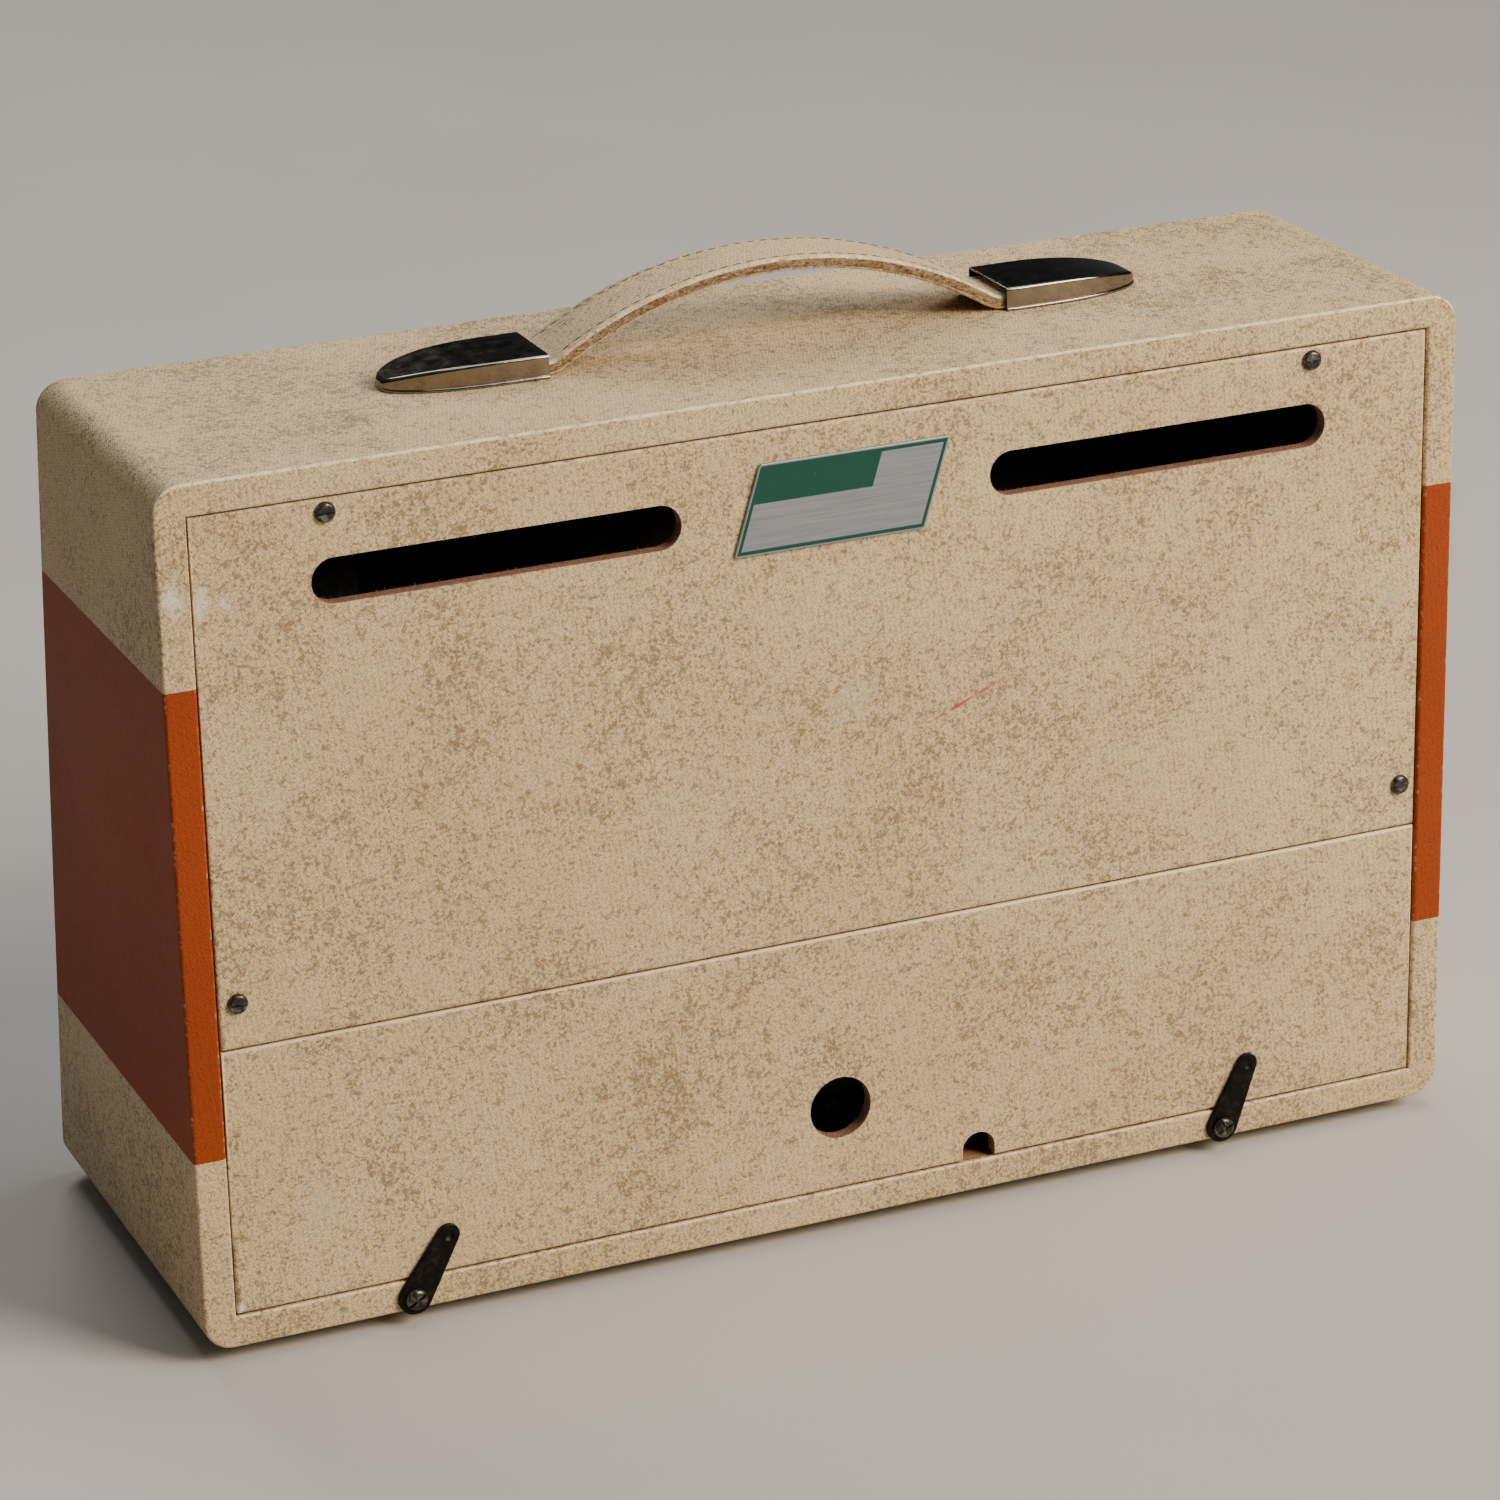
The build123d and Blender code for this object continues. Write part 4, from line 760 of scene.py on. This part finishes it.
def frayed_ends():
    """Loose fibres that stand out of the strap's rough sides."""
    bm = bmesh.new()
    chance = random.Random(4)
    for _ in range(FRAYED):
        side = chance.choice((-1, 1))
        height = chance.uniform(-0.45, 0.2) * STRAP_T
        foot = arch_centre + BACK * side * (strap_wide / 2 - 0.1 * MM) + UP * (arch_r + height)
        away = BACK * side - UP * chance.uniform(0, 0.6)
        made = fibre(bm, chance, foot, away, 2.2 * MM)
        turned = Matrix.Rotation(chance.uniform(-turn_up, turn_up), 3, "Y")
        bmesh.ops.rotate(bm, cent=arch_centre, matrix=turned, verts=made)
    return bm


piece("handle_strap_fibres", frayed_ends(), "case", frayed_canvas())


# ------------------------------------------------------------------ grille cloth and beading
# The baffle is covered with woven loudspeaker cloth, pulled tight and stapled behind. A moulded
# cream beading is pinned over the cloth's edges, all round.

def woven_grille():
    """Loudspeaker cloth: a basket weave of coarse brown and straw threads.
    Real thread spacing is 0.9 mm; drawn at 1.8 mm, so that it shows."""
    material, tree, place = finish("woven loudspeaker cloth")
    flat = add(tree, "Mapping", {"Vector": place, "Rotation": (rake - pi / 2, 0, 0)})
    thread = 1.8 * MM
    warp = add(tree, "TexWave", {"Vector": flat, "Scale": pi / 10 / thread, "Distortion": 0.6},
               out="Fac", bands_direction="X")
    weft = add(tree, "TexWave", {"Vector": flat, "Scale": pi / 10 / thread, "Distortion": 0.6},
               out="Fac", bands_direction="Y")
    squares = add(tree, "TexChecker", {"Vector": flat, "Scale": 1 / thread}, out="Fac")
    height = add(tree, "Mix", {0: squares, 2: warp, 3: weft})
    fleck = add(tree, "TexNoise", {"Vector": flat, "Scale": 1 / (9 * MM), "Detail": 3})
    straw = add(tree, "Mix", {0: fleck, 6: paint("#A8864F"), 7: paint("#C7AC78")}, out=2,
                data_type="RGBA")
    colour = add(tree, "Mix", {0: squares, 6: straw, 7: paint("#6E4A2C")}, out=2, data_type="RGBA")
    # The weave's low places are painted darker, towards near black: painted shade between the threads.
    deep = add(tree, "MapRange", {0: height, 1: 0.0, 2: 0.5, 3: 0.75, 4: 0.0})
    colour = add(tree, "Mix", {0: deep, 6: colour, 7: paint("#2E2016")}, out=2, data_type="RGBA")
    bump = add(tree, "Bump", {"Height": height, "Distance": 0.5 * MM})
    add(tree, "OutputMaterial", {0: add(tree, "BsdfPrincipled", {
        "Base Color": colour, "Roughness": 0.8, "Normal": bump, "Sheen Weight": 0.2})})
    return material


def cream_beading():
    """Moulded plastic beading: cream, gone yellow, with a soft gloss."""
    material, tree, place = finish("moulded cream plastic")
    age = add(tree, "TexNoise", {"Vector": place, "Scale": 1 / (20 * MM), "Detail": 4})
    colour = add(tree, "Mix", {0: age, 6: paint("#D8C79C"), 7: paint("#EADFBF")}, out=2,
                 data_type="RGBA")
    fine = add(tree, "TexNoise", {"Vector": place, "Scale": 1 / (1.5 * MM), "Detail": 2})
    bump = add(tree, "Bump", {"Height": fine, "Distance": 0.05 * MM})
    add(tree, "OutputMaterial", {0: add(tree, "BsdfPrincipled", {
        "Base Color": colour, "Roughness": 0.35, "Normal": bump})})
    return material


slope = Matrix.Translation((0, case_low.y, case_low.z)) @ Matrix.Rotation(pi / 2 - rake, 4, "X")


def slope_box(node):
    """A CAD node's corners in the raked front's own axes: along, up the slope and outwards."""
    points = [slope.inverted() @ vert.co for vert in frame["nodes"][node].data.vertices]
    return [Vector([pick(p[axis] for p in points) for axis in range(3)]) for pick in (min, max)]


def panel(low, high, columns=1, rows=1):
    """A flat grid in the front's own axes, at the higher depth of the two."""
    bm = bmesh.new()
    bmesh.ops.create_grid(bm, x_segments=columns, y_segments=rows, size=0.5)
    bmesh.ops.scale(bm, vec=(high.x - low.x, high.y - low.y, 1), verts=bm.verts)
    place = ((low.x + high.x) / 2, (low.y + high.y) / 2, high.z)
    bmesh.ops.translate(bm, vec=place, verts=bm.verts)
    return bm


GRILLE_T = 0.4 * MM
GRILLE_SAG = 0.7 * MM     # where the cloth spans a loudspeaker's opening
GRILLE_UNEVEN = 0.08 * MM
HOLE_R = 88 * MM
speakers = {side: [sum(c) / 2 for c in zip(*slope_box(f"speaker_magnet_{side}"))]
            for side in ("left", "right")}
grille_low, grille_high = slope_box("grille_cloth")
bm = panel(grille_low, grille_high, 120, 60)
for vert in bm.verts:
    near = min((vert.co.xy - Vector(middle[:2])).length for middle in speakers.values())
    hollow = max(0.0, 1 - (near / HOLE_R) ** 2)
    uneven = GRILLE_UNEVEN * (1 + noise.noise(vert.co / (14 * MM)))
    vert.co.z -= GRILLE_SAG * sqrt(hollow) + uneven
bmesh.ops.transform(bm, matrix=slope, verts=bm.verts)
grille = piece("grille_cloth_woven", bm, "case", woven_grille(), wall=GRILLE_T)
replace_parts(grille, "grille_cloth")
STAPLED = 30 * MM         # cloth turned behind the baffle, both sides together
flat = grille_high - grille_low + Vector((STAPLED, STAPLED, 0))

BEADING_W = 6 * MM
BEADING_R = 2.3 * MM
bead_low, bead_high = slope_box("grille_beading")
bm = panel(bead_low, bead_high)
ring = bmesh.ops.inset_individual(bm, faces=bm.faces[:], thickness=BEADING_W)["faces"]
bmesh.ops.delete(bm, geom=[f for f in bm.faces if f not in ring], context="FACES")
back = bmesh.ops.extrude_face_region(bm, geom=bm.faces[:])["geom"]
back = [v for v in back if isinstance(v, bmesh.types.BMVert)]
bmesh.ops.translate(bm, vec=-UP * (bead_high.z - bead_low.z), verts=back)
bmesh.ops.recalc_face_normals(bm, faces=bm.faces)
top = [e for e in bm.edges if e.calc_face_angle(0) > 1 and all(
    abs(v.co.z - bead_high.z) < SNAP for v in e.verts)]
bevelled(bm, top, BEADING_R, 6)
bmesh.ops.transform(bm, matrix=slope, verts=bm.verts)
beading = piece("grille_beading_moulded", bm, "case", cream_beading())
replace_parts(beading, "grille_beading")


# ------------------------------------------------------------------ control panel
# A satin aluminium panel carries the controls. Round each knob's hole is a printed scale in black
# ink: a line and a number for each step from 0 to 10.

dress(brushed_aluminium("satin aluminium", "#9FA09B", "#C9C9C2"), "control_panel")
INK = 0.04 * MM
STEPS = 10
SWEEP = radians(300)
TICK_IN, TICK_OUT, NUMBER_AT = 17.4 * MM, 19.2 * MM, 21.6 * MM
TICK_W = 0.45 * MM
NUMBER_TALL = 3.4 * MM
panel_face = slope_box("control_panel")[1].z
knobs = [j for j in frame["joints"] if j["name"].endswith("_turn")]


def number_mesh(text):
    """A printed number as a mesh, centred on the origin."""
    curve = bpy.data.curves.new("number", "FONT")
    curve.body = text
    curve.size = NUMBER_TALL
    curve.align_x, curve.align_y = "CENTER", "CENTER"
    curve.extrude = INK / 2
    curve.resolution_u = 3
    holder = bpy.data.objects.new("number", curve)
    mesh = bpy.data.meshes.new_from_object(holder)
    bpy.data.objects.remove(holder)
    return mesh


bm = bmesh.new()
for joint in knobs:
    middle = slope.inverted() @ Vector(joint["pos_m"])
    for step in range(STEPS + 1):
        angle = SWEEP * (0.5 - step / STEPS)
        tick = bmesh.ops.create_cube(bm, size=1)["verts"]
        bmesh.ops.scale(bm, vec=(TICK_W, TICK_OUT - TICK_IN, INK), verts=tick)
        bmesh.ops.translate(bm, vec=(0, (TICK_OUT + TICK_IN) / 2, 0), verts=tick)
        bmesh.ops.rotate(bm, matrix=Matrix.Rotation(angle, 3, "Z"), verts=tick)
        known = set(bm.verts)
        bm.from_mesh(number_mesh(str(step)))
        digits = [v for v in bm.verts if v not in known]
        away = Vector((-sin(angle), cos(angle), 0)) * NUMBER_AT
        bmesh.ops.translate(bm, vec=away, verts=digits)
        place = Vector((middle.x, middle.y, panel_face + INK / 2))
        bmesh.ops.translate(bm, vec=place, verts=tick + digits)
bmesh.ops.transform(bm, matrix=slope, verts=bm.verts)
# Screen-printed ink is matt black, a few hundredths of a millimetre thick.
ink = two_toned("screen-printed ink", "#141414", "#2E2E2E", 0.6 * MM, 0, {"Roughness": 0.6},
                detail=3)
piece("panel_scales", bm, "case", ink)


# ------------------------------------------------------------------ knobs and potentiometers
# Four fluted knobs, moulded in dark brown phenolic and pushed on to steel shafts. Each has a cream
# line let into its top, and turns a potentiometer in a zinc-plated can behind the panel.

def moulded_phenolic(name, dark, light):
    """Moulded phenolic: a deep brown-black gloss with faint flow marks."""
    material, tree, place = finish(name)
    flow = add(tree, "TexNoise", {"Vector": place, "Scale": 1 / (4 * MM), "Detail": 4,
                                  "Distortion": 1.5})
    colour = add(tree, "Mix", {0: flow, 6: paint(dark), 7: paint(light)}, out=2, data_type="RGBA")
    gloss = add(tree, "MapRange", {0: flow, 3: 0.16, 4: 0.34})
    bump = add(tree, "Bump", {"Height": flow, "Distance": 0.04 * MM})
    add(tree, "OutputMaterial", {0: add(tree, "BsdfPrincipled", {
        "Base Color": colour, "Roughness": gloss, "Normal": bump})})
    return material


def zinc_plate(name, dark, light, rough):
    """Zinc-plated or bare steel: grey, spangled and a little dulled."""
    material, tree, place = finish(name)
    spangle = add(tree, "TexVoronoi", {"Vector": place, "Scale": 1 / (3 * MM)})
    dull = add(tree, "TexNoise", {"Vector": place, "Scale": 1 / (8 * MM), "Detail": 5})
    mixed = add(tree, "Math", {0: spangle, 1: 0.4, 2: dull}, operation="MULTIPLY_ADD")
    colour = add(tree, "Mix", {0: mixed, 6: paint(dark), 7: paint(light)}, out=2,
                 data_type="RGBA")
    gloss = add(tree, "MapRange", {0: dull, 3: rough, 4: rough + 0.25})
    bump = add(tree, "Bump", {"Height": dull, "Distance": 0.03 * MM})
    add(tree, "OutputMaterial", {0: add(tree, "BsdfPrincipled", {
        "Base Color": colour, "Metallic": 0.9, "Roughness": gloss, "Normal": bump})})
    return material


phenolic = moulded_phenolic("moulded dark brown phenolic", "#170D0A", "#2A1711")
zinc = zinc_plate("zinc-plated steel", "#7E8183", "#B4B7B8", 0.3)
dress(phenolic, "knob_volume", "knob_tone", "knob_speed", "knob_depth", "valve_holders")
dress(zinc, "potentiometers", "chassis", "chassis_bolts", "speaker_bolts", "handle_bolts")
knob_line = cream_beading()
LINE = Vector((1.1, 8.0, 0.5)) * MM
LINE_R = 0.15 * MM
LINE_OUT = 5.6 * MM       # from the knob's axis to the line's middle
for joint in knobs:
    knob = joint["child"]
    middle = slope.inverted() @ Vector(joint["pos_m"])
    face = slope_box(knob)[1].z
    bm = bmesh.new()
    bmesh.ops.create_cube(bm, size=1)
    bmesh.ops.scale(bm, vec=LINE, verts=bm.verts)
    bevelled(bm, bm.edges[:], LINE_R, 2)
    bmesh.ops.translate(bm, vec=(middle.x, middle.y + LINE_OUT, face), verts=bm.verts)
    bmesh.ops.transform(bm, matrix=slope, verts=bm.verts)
    piece(f"{knob}_line", bm, knob, knob_line)


# ------------------------------------------------------------------ jacks and lamp
# Two jack sockets have nickel-plated bushings and nuts in front of the panel and black phenolic
# bodies behind it. The lamp is a moulded red jewel in a nickel ring.

PANEL_T = 2 * MM


def jack_finish():
    """Nickel plate in front of the panel, black phenolic behind it."""
    material, tree, place = finish("nickel bushing in black phenolic")
    foot = case_low.y * cos(rake) - case_low.z * sin(rake)
    flat = add(tree, "Mapping", {"Vector": place, "Rotation": (rake - pi / 2, 0, 0),
                                 "Location": (0, 0, foot)})
    depth = add(tree, "SeparateXYZ", {0: flat}, out="Z")
    metal = add(tree, "Math", {0: depth, 1: panel_face - PANEL_T}, operation="GREATER_THAN")
    fine = add(tree, "TexNoise", {"Vector": place, "Scale": 1 / (2 * MM), "Detail": 4})
    plated = add(tree, "Mix", {0: fine, 6: paint("#8B867E"), 7: paint("#B8B2A6")}, out=2,
                 data_type="RGBA")
    colour = add(tree, "Mix", {0: metal, 6: paint("#16130F"), 7: plated}, out=2, data_type="RGBA")
    gloss = add(tree, "MapRange", {0: fine, 3: 0.15, 4: 0.35})
    add(tree, "OutputMaterial", {0: add(tree, "BsdfPrincipled", {
        "Base Color": colour, "Metallic": metal, "Roughness": gloss})})
    return material


def red_jewel():
    """Moulded red glass: clear, with a facet-like ripple."""
    material, tree, place = finish("moulded red glass")
    facets = add(tree, "TexVoronoi", {"Vector": place, "Scale": 1 / (2.4 * MM)})
    colour = add(tree, "Mix", {0: facets, 6: paint("#B0120E"), 7: paint("#E23A22")}, out=2,
                 data_type="RGBA")
    bump = add(tree, "Bump", {"Height": facets, "Distance": 0.6 * MM})
    add(tree, "OutputMaterial", {0: add(tree, "BsdfPrincipled", {
        "Base Color": colour, "Roughness": 0.08, "Normal": bump, "Transmission Weight": 0.4,
        "IOR": 1.52})})
    return material


dress(jack_finish(), "input_jacks")
dress(red_jewel(), "lamp_jewel")


# ------------------------------------------------------------------ transformers and capacitor
# The mains and output transformers are stacks of varnished silicon-steel laminations, each round a
# paper-wrapped winding. The smoothing capacitor is a drawn aluminium can.

CORE_SHARE = 22 / 60      # the laminations' share of a transformer's width
CORE_PROUD = 0.3 * MM


def transformer_finish(name, node):
    """Black-varnished laminations 0.5 mm thick, drawn at 1 mm, round a winding in brown paper."""
    material, tree, place = finish(name)
    low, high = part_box(node)
    core_half = (high.x - low.x) * CORE_SHARE / 2 + CORE_PROUD
    away = add(tree, "SeparateXYZ", {0: place}, out="Y")
    away = add(tree, "Math", {0: away, 1: (low.y + high.y) / 2}, operation="SUBTRACT")
    away = add(tree, "Math", {0: away}, operation="ABSOLUTE")
    winding = add(tree, "Math", {0: away, 1: core_half}, operation="GREATER_THAN")
    stack = add(tree, "TexWave", {"Vector": place, "Scale": pi / 10 / MM}, out="Fac",
                bands_direction="Y")
    steel = add(tree, "Mix", {0: stack, 6: paint("#141416"), 7: paint("#2C2A2A")}, out=2,
                data_type="RGBA")
    crease = add(tree, "TexNoise", {"Vector": place, "Scale": 1 / (6 * MM), "Detail": 5})
    paper = add(tree, "Mix", {0: crease, 6: paint("#6F4A22"), 7: paint("#A6773C")}, out=2,
                data_type="RGBA")
    colour = add(tree, "Mix", {0: winding, 6: steel, 7: paper}, out=2, data_type="RGBA")
    bump = add(tree, "Bump", {"Height": stack, "Distance": 0.2 * MM})
    add(tree, "OutputMaterial", {0: add(tree, "BsdfPrincipled", {
        "Base Color": colour, "Roughness": 0.5, "Normal": bump})})
    return material


for node in ("mains_transformer", "output_transformer"):
    dress(transformer_finish(f"laminations of the {node.replace('_', ' ')}", node), node)
dress(brushed_aluminium("drawn aluminium", "#A5A8A8", "#D2D4D2"), "smoothing_capacitor")


# ------------------------------------------------------------------ valves
# Six all-glass valves stand in phenolic holders. Each is a blown envelope with an evacuation tip,
# round a grey carbonised anode between two mica discs, under a silver getter flash.

def blown_glass():
    """Thin blown glass: clear, very slightly green, with faint ripples."""
    material, tree, place = finish("blown valve glass")
    ripple = add(tree, "TexNoise", {"Vector": place, "Scale": 1 / (12 * MM), "Detail": 2})
    bump = add(tree, "Bump", {"Height": ripple, "Distance": 0.1 * MM})
    add(tree, "OutputMaterial", {0: add(tree, "BsdfPrincipled", {
        "Base Color": paint("#EAF2EC"), "Roughness": 0.03, "Normal": bump,
        "Transmission Weight": 1.0, "IOR": 1.47})})
    return material


GLASS = 0.7 * MM
VALVE_R = 10.6 * MM
DOME = 0.7                # the dome's height as a share of the radius
TIP = 4 * MM              # the evacuation tip's height
MICA_R, MICA_T, MICA_FOOT = 6.5 * MM, 0.6 * MM, 6 * MM
ANODE = Vector((10, 6)) * MM
ANODE_R = 2 * MM


def spun(bm, outline, centre, steps):
    """Turn an outline of radius and height pairs once round a vertical axis."""
    verts = [bm.verts.new(centre + Vector((radius, 0, height))) for radius, height in outline]
    edges = [bm.edges.new(pair) for pair in zip(verts, verts[1:])]
    bmesh.ops.spin(bm, geom=verts + edges, cent=centre, axis=UP, angle=2 * pi, steps=steps,
                   use_merge=True, use_duplicate=False, dvec=MIDDLE)


valve_boxes = []
for vert in sorted(frame["nodes"]["valves"].data.vertices, key=lambda v: v.co.x):
    if not valve_boxes or vert.co.x - valve_boxes[-1][0] > 2.5 * VALVE_R:
        valve_boxes.append([vert.co.x, vert.co.z, vert.co.z])
    valve_boxes[-1][1] = min(valve_boxes[-1][1], vert.co.z)
    valve_boxes[-1][2] = max(valve_boxes[-1][2], vert.co.z)
valve_y = sum(corner.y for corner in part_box("valves")) / 2
glass, metal, flash = bmesh.new(), bmesh.new(), bmesh.new()
for left, foot, tip in valve_boxes:
    centre = Vector((left + VALVE_R, valve_y, foot))
    shoulder = tip - foot - TIP
    dome = [(VALVE_R * cos(a), shoulder - VALVE_R * DOME * (1 - sin(a)))
            for a in (radians(15 * k) for k in range(6))]
    outline = [(0.4 * VALVE_R, 0), (VALVE_R, 0.5 * MM)] + dome
    spun(glass, outline + [(1.6 * MM, shoulder), (0.8 * MM, shoulder + 3 * MM), (0, tip - foot)],
         centre, 32)
    inner = [(r - 1.2 * GLASS, z - GLASS) for r, z in dome[1:]]
    spun(flash, inner + [(0.3 * MM, shoulder - GLASS)], centre, 32)
    tall = shoulder - 18 * MM
    for low in (MICA_FOOT, MICA_FOOT + MICA_T + tall):
        high = low + MICA_T
        spun(metal, [(0.1 * MM, low), (MICA_R, low), (MICA_R, high), (0.1 * MM, high)], centre, 20)
    anode = bmesh.ops.create_cube(metal, size=1)["verts"]
    bmesh.ops.scale(metal, vec=(*ANODE, tall), verts=anode)
    bmesh.ops.translate(metal, vec=centre + UP * (tall / 2 + MICA_FOOT + MICA_T), verts=anode)
    upright = dict.fromkeys(e for v in anode for e in v.link_edges
                            if abs((e.verts[0].co - e.verts[1].co).z) > tall / 2)
    bevelled(metal, list(upright), ANODE_R, 4)
for bm in (glass, metal, flash):
    bmesh.ops.remove_doubles(bm, verts=bm.verts, dist=SNAP)
    bmesh.ops.recalc_face_normals(bm, faces=bm.faces)
envelopes = piece("valve_envelopes", glass, "case", blown_glass(), wall=GLASS)
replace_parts(envelopes, "valves")
# Carbonised nickel sheet is dark grey and matt.
anode_metal = two_toned("carbonised nickel", "#2B2B2D", "#4A4A4C", 2 * MM, 0,
                        {"Metallic": 0.5, "Roughness": 0.6}, detail=3)
piece("valve_anodes", metal, "case", anode_metal)
# The getter leaves a mirror of barium inside the glass, brown where it thins.
getter = two_toned("getter mirror", "#B9B6B0", "#6B5A48", 5 * MM, 0,
                   {"Metallic": 1.0, "Roughness": 0.12}, detail=3)
piece("valve_getters", flash, "case", getter, wall=0.1 * MM)


# ------------------------------------------------------------------ wiring board
# A board of phenolic paper laminate hangs under the chassis on two stand-offs, and carries a row
# of small components.

# Phenolic paper laminate is brown, faintly layered and half glossy.
dress(two_toned("phenolic paper laminate", "#6B4522", "#96683A", 5 * MM, 0.05 * MM,
                {"Roughness": 0.45}, detail=5), "tag_board")


# ------------------------------------------------------------------ loudspeakers
# Two eight-inch loudspeakers, bolted behind the baffle. Each has a pressed frame in hammered grey
# paint, a ferrite magnet, a pressed paper cone with its surround and spider, and a copper coil.

def hammered_paint():
    """Hammer-finish paint: grey, with dimples a few millimetres across."""
    material, tree, place = finish("grey hammered paint")
    dimple = add(tree, "TexVoronoi", {"Vector": place, "Scale": 1 / (3 * MM)}, feature="SMOOTH_F1")
    colour = add(tree, "Mix", {0: dimple, 6: paint("#6A7073"), 7: paint("#3C4144")}, out=2,
                 data_type="RGBA")
    bump = add(tree, "Bump", {"Height": dimple, "Distance": 0.4 * MM})
    add(tree, "OutputMaterial", {0: add(tree, "BsdfPrincipled", {
        "Base Color": colour, "Metallic": 0.3, "Roughness": 0.32, "Normal": bump})})
    return material


def copper_winding():
    """Enamelled copper wire, wound side by side. Real wire is 0.15 mm; drawn at 0.6 mm."""
    material, tree, place = finish("enamelled copper wire")
    flat = add(tree, "Mapping", {"Vector": place, "Rotation": (rake - pi / 2, 0, 0)})
    turns = add(tree, "TexWave", {"Vector": flat, "Scale": pi / 10 / (0.6 * MM)}, out="Fac",
                bands_direction="Z")
    # Each turn is painted lighter on its crest and darker in its grooves: a painted highlight and painted shade.
    colour = add(tree, "Mix", {0: turns, 6: paint("#6B2F14"), 7: paint("#C0703A")}, out=2,
                 data_type="RGBA")
    bump = add(tree, "Bump", {"Height": turns, "Distance": 0.15 * MM})
    add(tree, "OutputMaterial", {0: add(tree, "BsdfPrincipled", {
        "Base Color": colour, "Metallic": 0.9, "Roughness": 0.3, "Normal": bump})})
    return material


# Cones are pressed from paper pulp: near black, felted and matt.
cone_paper = two_toned("pressed cone paper", "#171513", "#3A342D", 1.5 * MM, 0.3 * MM,
                       {"Roughness": 0.9}, detail=5, rough=0.7)
dress(hammered_paint(), "speaker_frame_left", "speaker_frame_right", "speaker_magnet_left",
      "speaker_magnet_right")
dress(cone_paper, "speaker_cone_left", "speaker_cone_right", "speaker_surrounds",
      "speaker_spiders")
dress(copper_winding(), "voice_coil_left", "voice_coil_right")


# ------------------------------------------------------------------ floor, light and camera
# A wide floor in pale matt paint, in a dim room with three soft lights: a large warm one behind
# and to the left, as seen from the front, a weaker one in front and a cool one overhead.

FLOOR_HALF = 12
# Floor paint is matt, pale and almost even.
floor_paint = two_toned("pale floor paint", "#B9B5AD", "#C9C6BF", 1 / 3, 0, {"Roughness": 0.8},
                        detail=3)
bm = bmesh.new()
bmesh.ops.create_grid(bm, x_segments=1, y_segments=1, size=FLOOR_HALF)
floor = bpy.data.objects.new("floor", bpy.data.meshes.new("floor"))
bm.to_mesh(floor.data)
bm.free()
floor.data.materials.append(floor_paint)
bpy.context.scene.collection.objects.link(floor)

# Where each softbox stands, its side, its power in watts and its tint.
LIGHTS = (((-1.7, 2.0, 1.9), 1.5, 142, "#FFF1DE"), ((0, -2.3, 2.6), 1.4, 44, "#FFF8F0"),
          ((-0.5, 0.3, 2.6), 1.2, 18, "#DCE6FF"))
target = Vector((0, 0, 0.16))
for number, (place, size, power, tint) in enumerate(LIGHTS):
    lamp = bpy.data.lights.new(f"softbox_{number}", "AREA")
    lamp.size = size
    lamp.energy = power
    lamp.color = paint(tint)[:3]
    holder = bpy.data.objects.new(lamp.name, lamp)
    holder.location = place
    holder.rotation_euler = (Vector(place) - target).to_track_quat("Z", "Y").to_euler()
    bpy.context.scene.collection.objects.link(holder)

# The room is lightest overhead, a little lighter where the floor ends, and dark in between.
world = bpy.data.worlds.new("dim studio")
world.use_nodes = True
tree = world.node_tree
tree.nodes.clear()
height = add(tree, "SeparateXYZ", {0: add(tree, "TexCoord", out="Generated")}, out="Z")
above = add(tree, "MapRange", {0: height, 1: 0.25, 2: 0.85, 3: 0.05, 4: 0.34},
            interpolation_type="SMOOTHSTEP")
height = add(tree, "MapRange", {0: height, 1: 0.02, 2: 0.28, 3: 0.2, 4: 0.0})
height = add(tree, "Math", {0: height, 1: above}, operation="ADD")
add(tree, "OutputWorld", {0: add(tree, "Background", {"Color": paint("#9AA0A8"),
                                                      "Strength": height})})
bpy.context.scene.world = world

AZIMUTH, ELEVATION, ROLL = radians(156.93), radians(21.11), radians(-1.32)
AWAY = 1.98               # from the camera to what it looks at
turn = (Matrix.Rotation(AZIMUTH, 4, "Z") @ Matrix.Rotation(pi / 2 - ELEVATION, 4, "X")
        @ Matrix.Rotation(ROLL, 4, "Z"))
camera = bpy.data.objects.new("camera", bpy.data.cameras.new("camera"))
camera.data.lens = 126.1
camera.data.sensor_width = 36
aim = Vector((0.006, 0.0185, 0.171))
camera.matrix_world = Matrix.Translation(aim + turn.to_3x3() @ UP * AWAY) @ turn
bpy.context.scene.collection.objects.link(camera)
bpy.context.scene.camera = camera
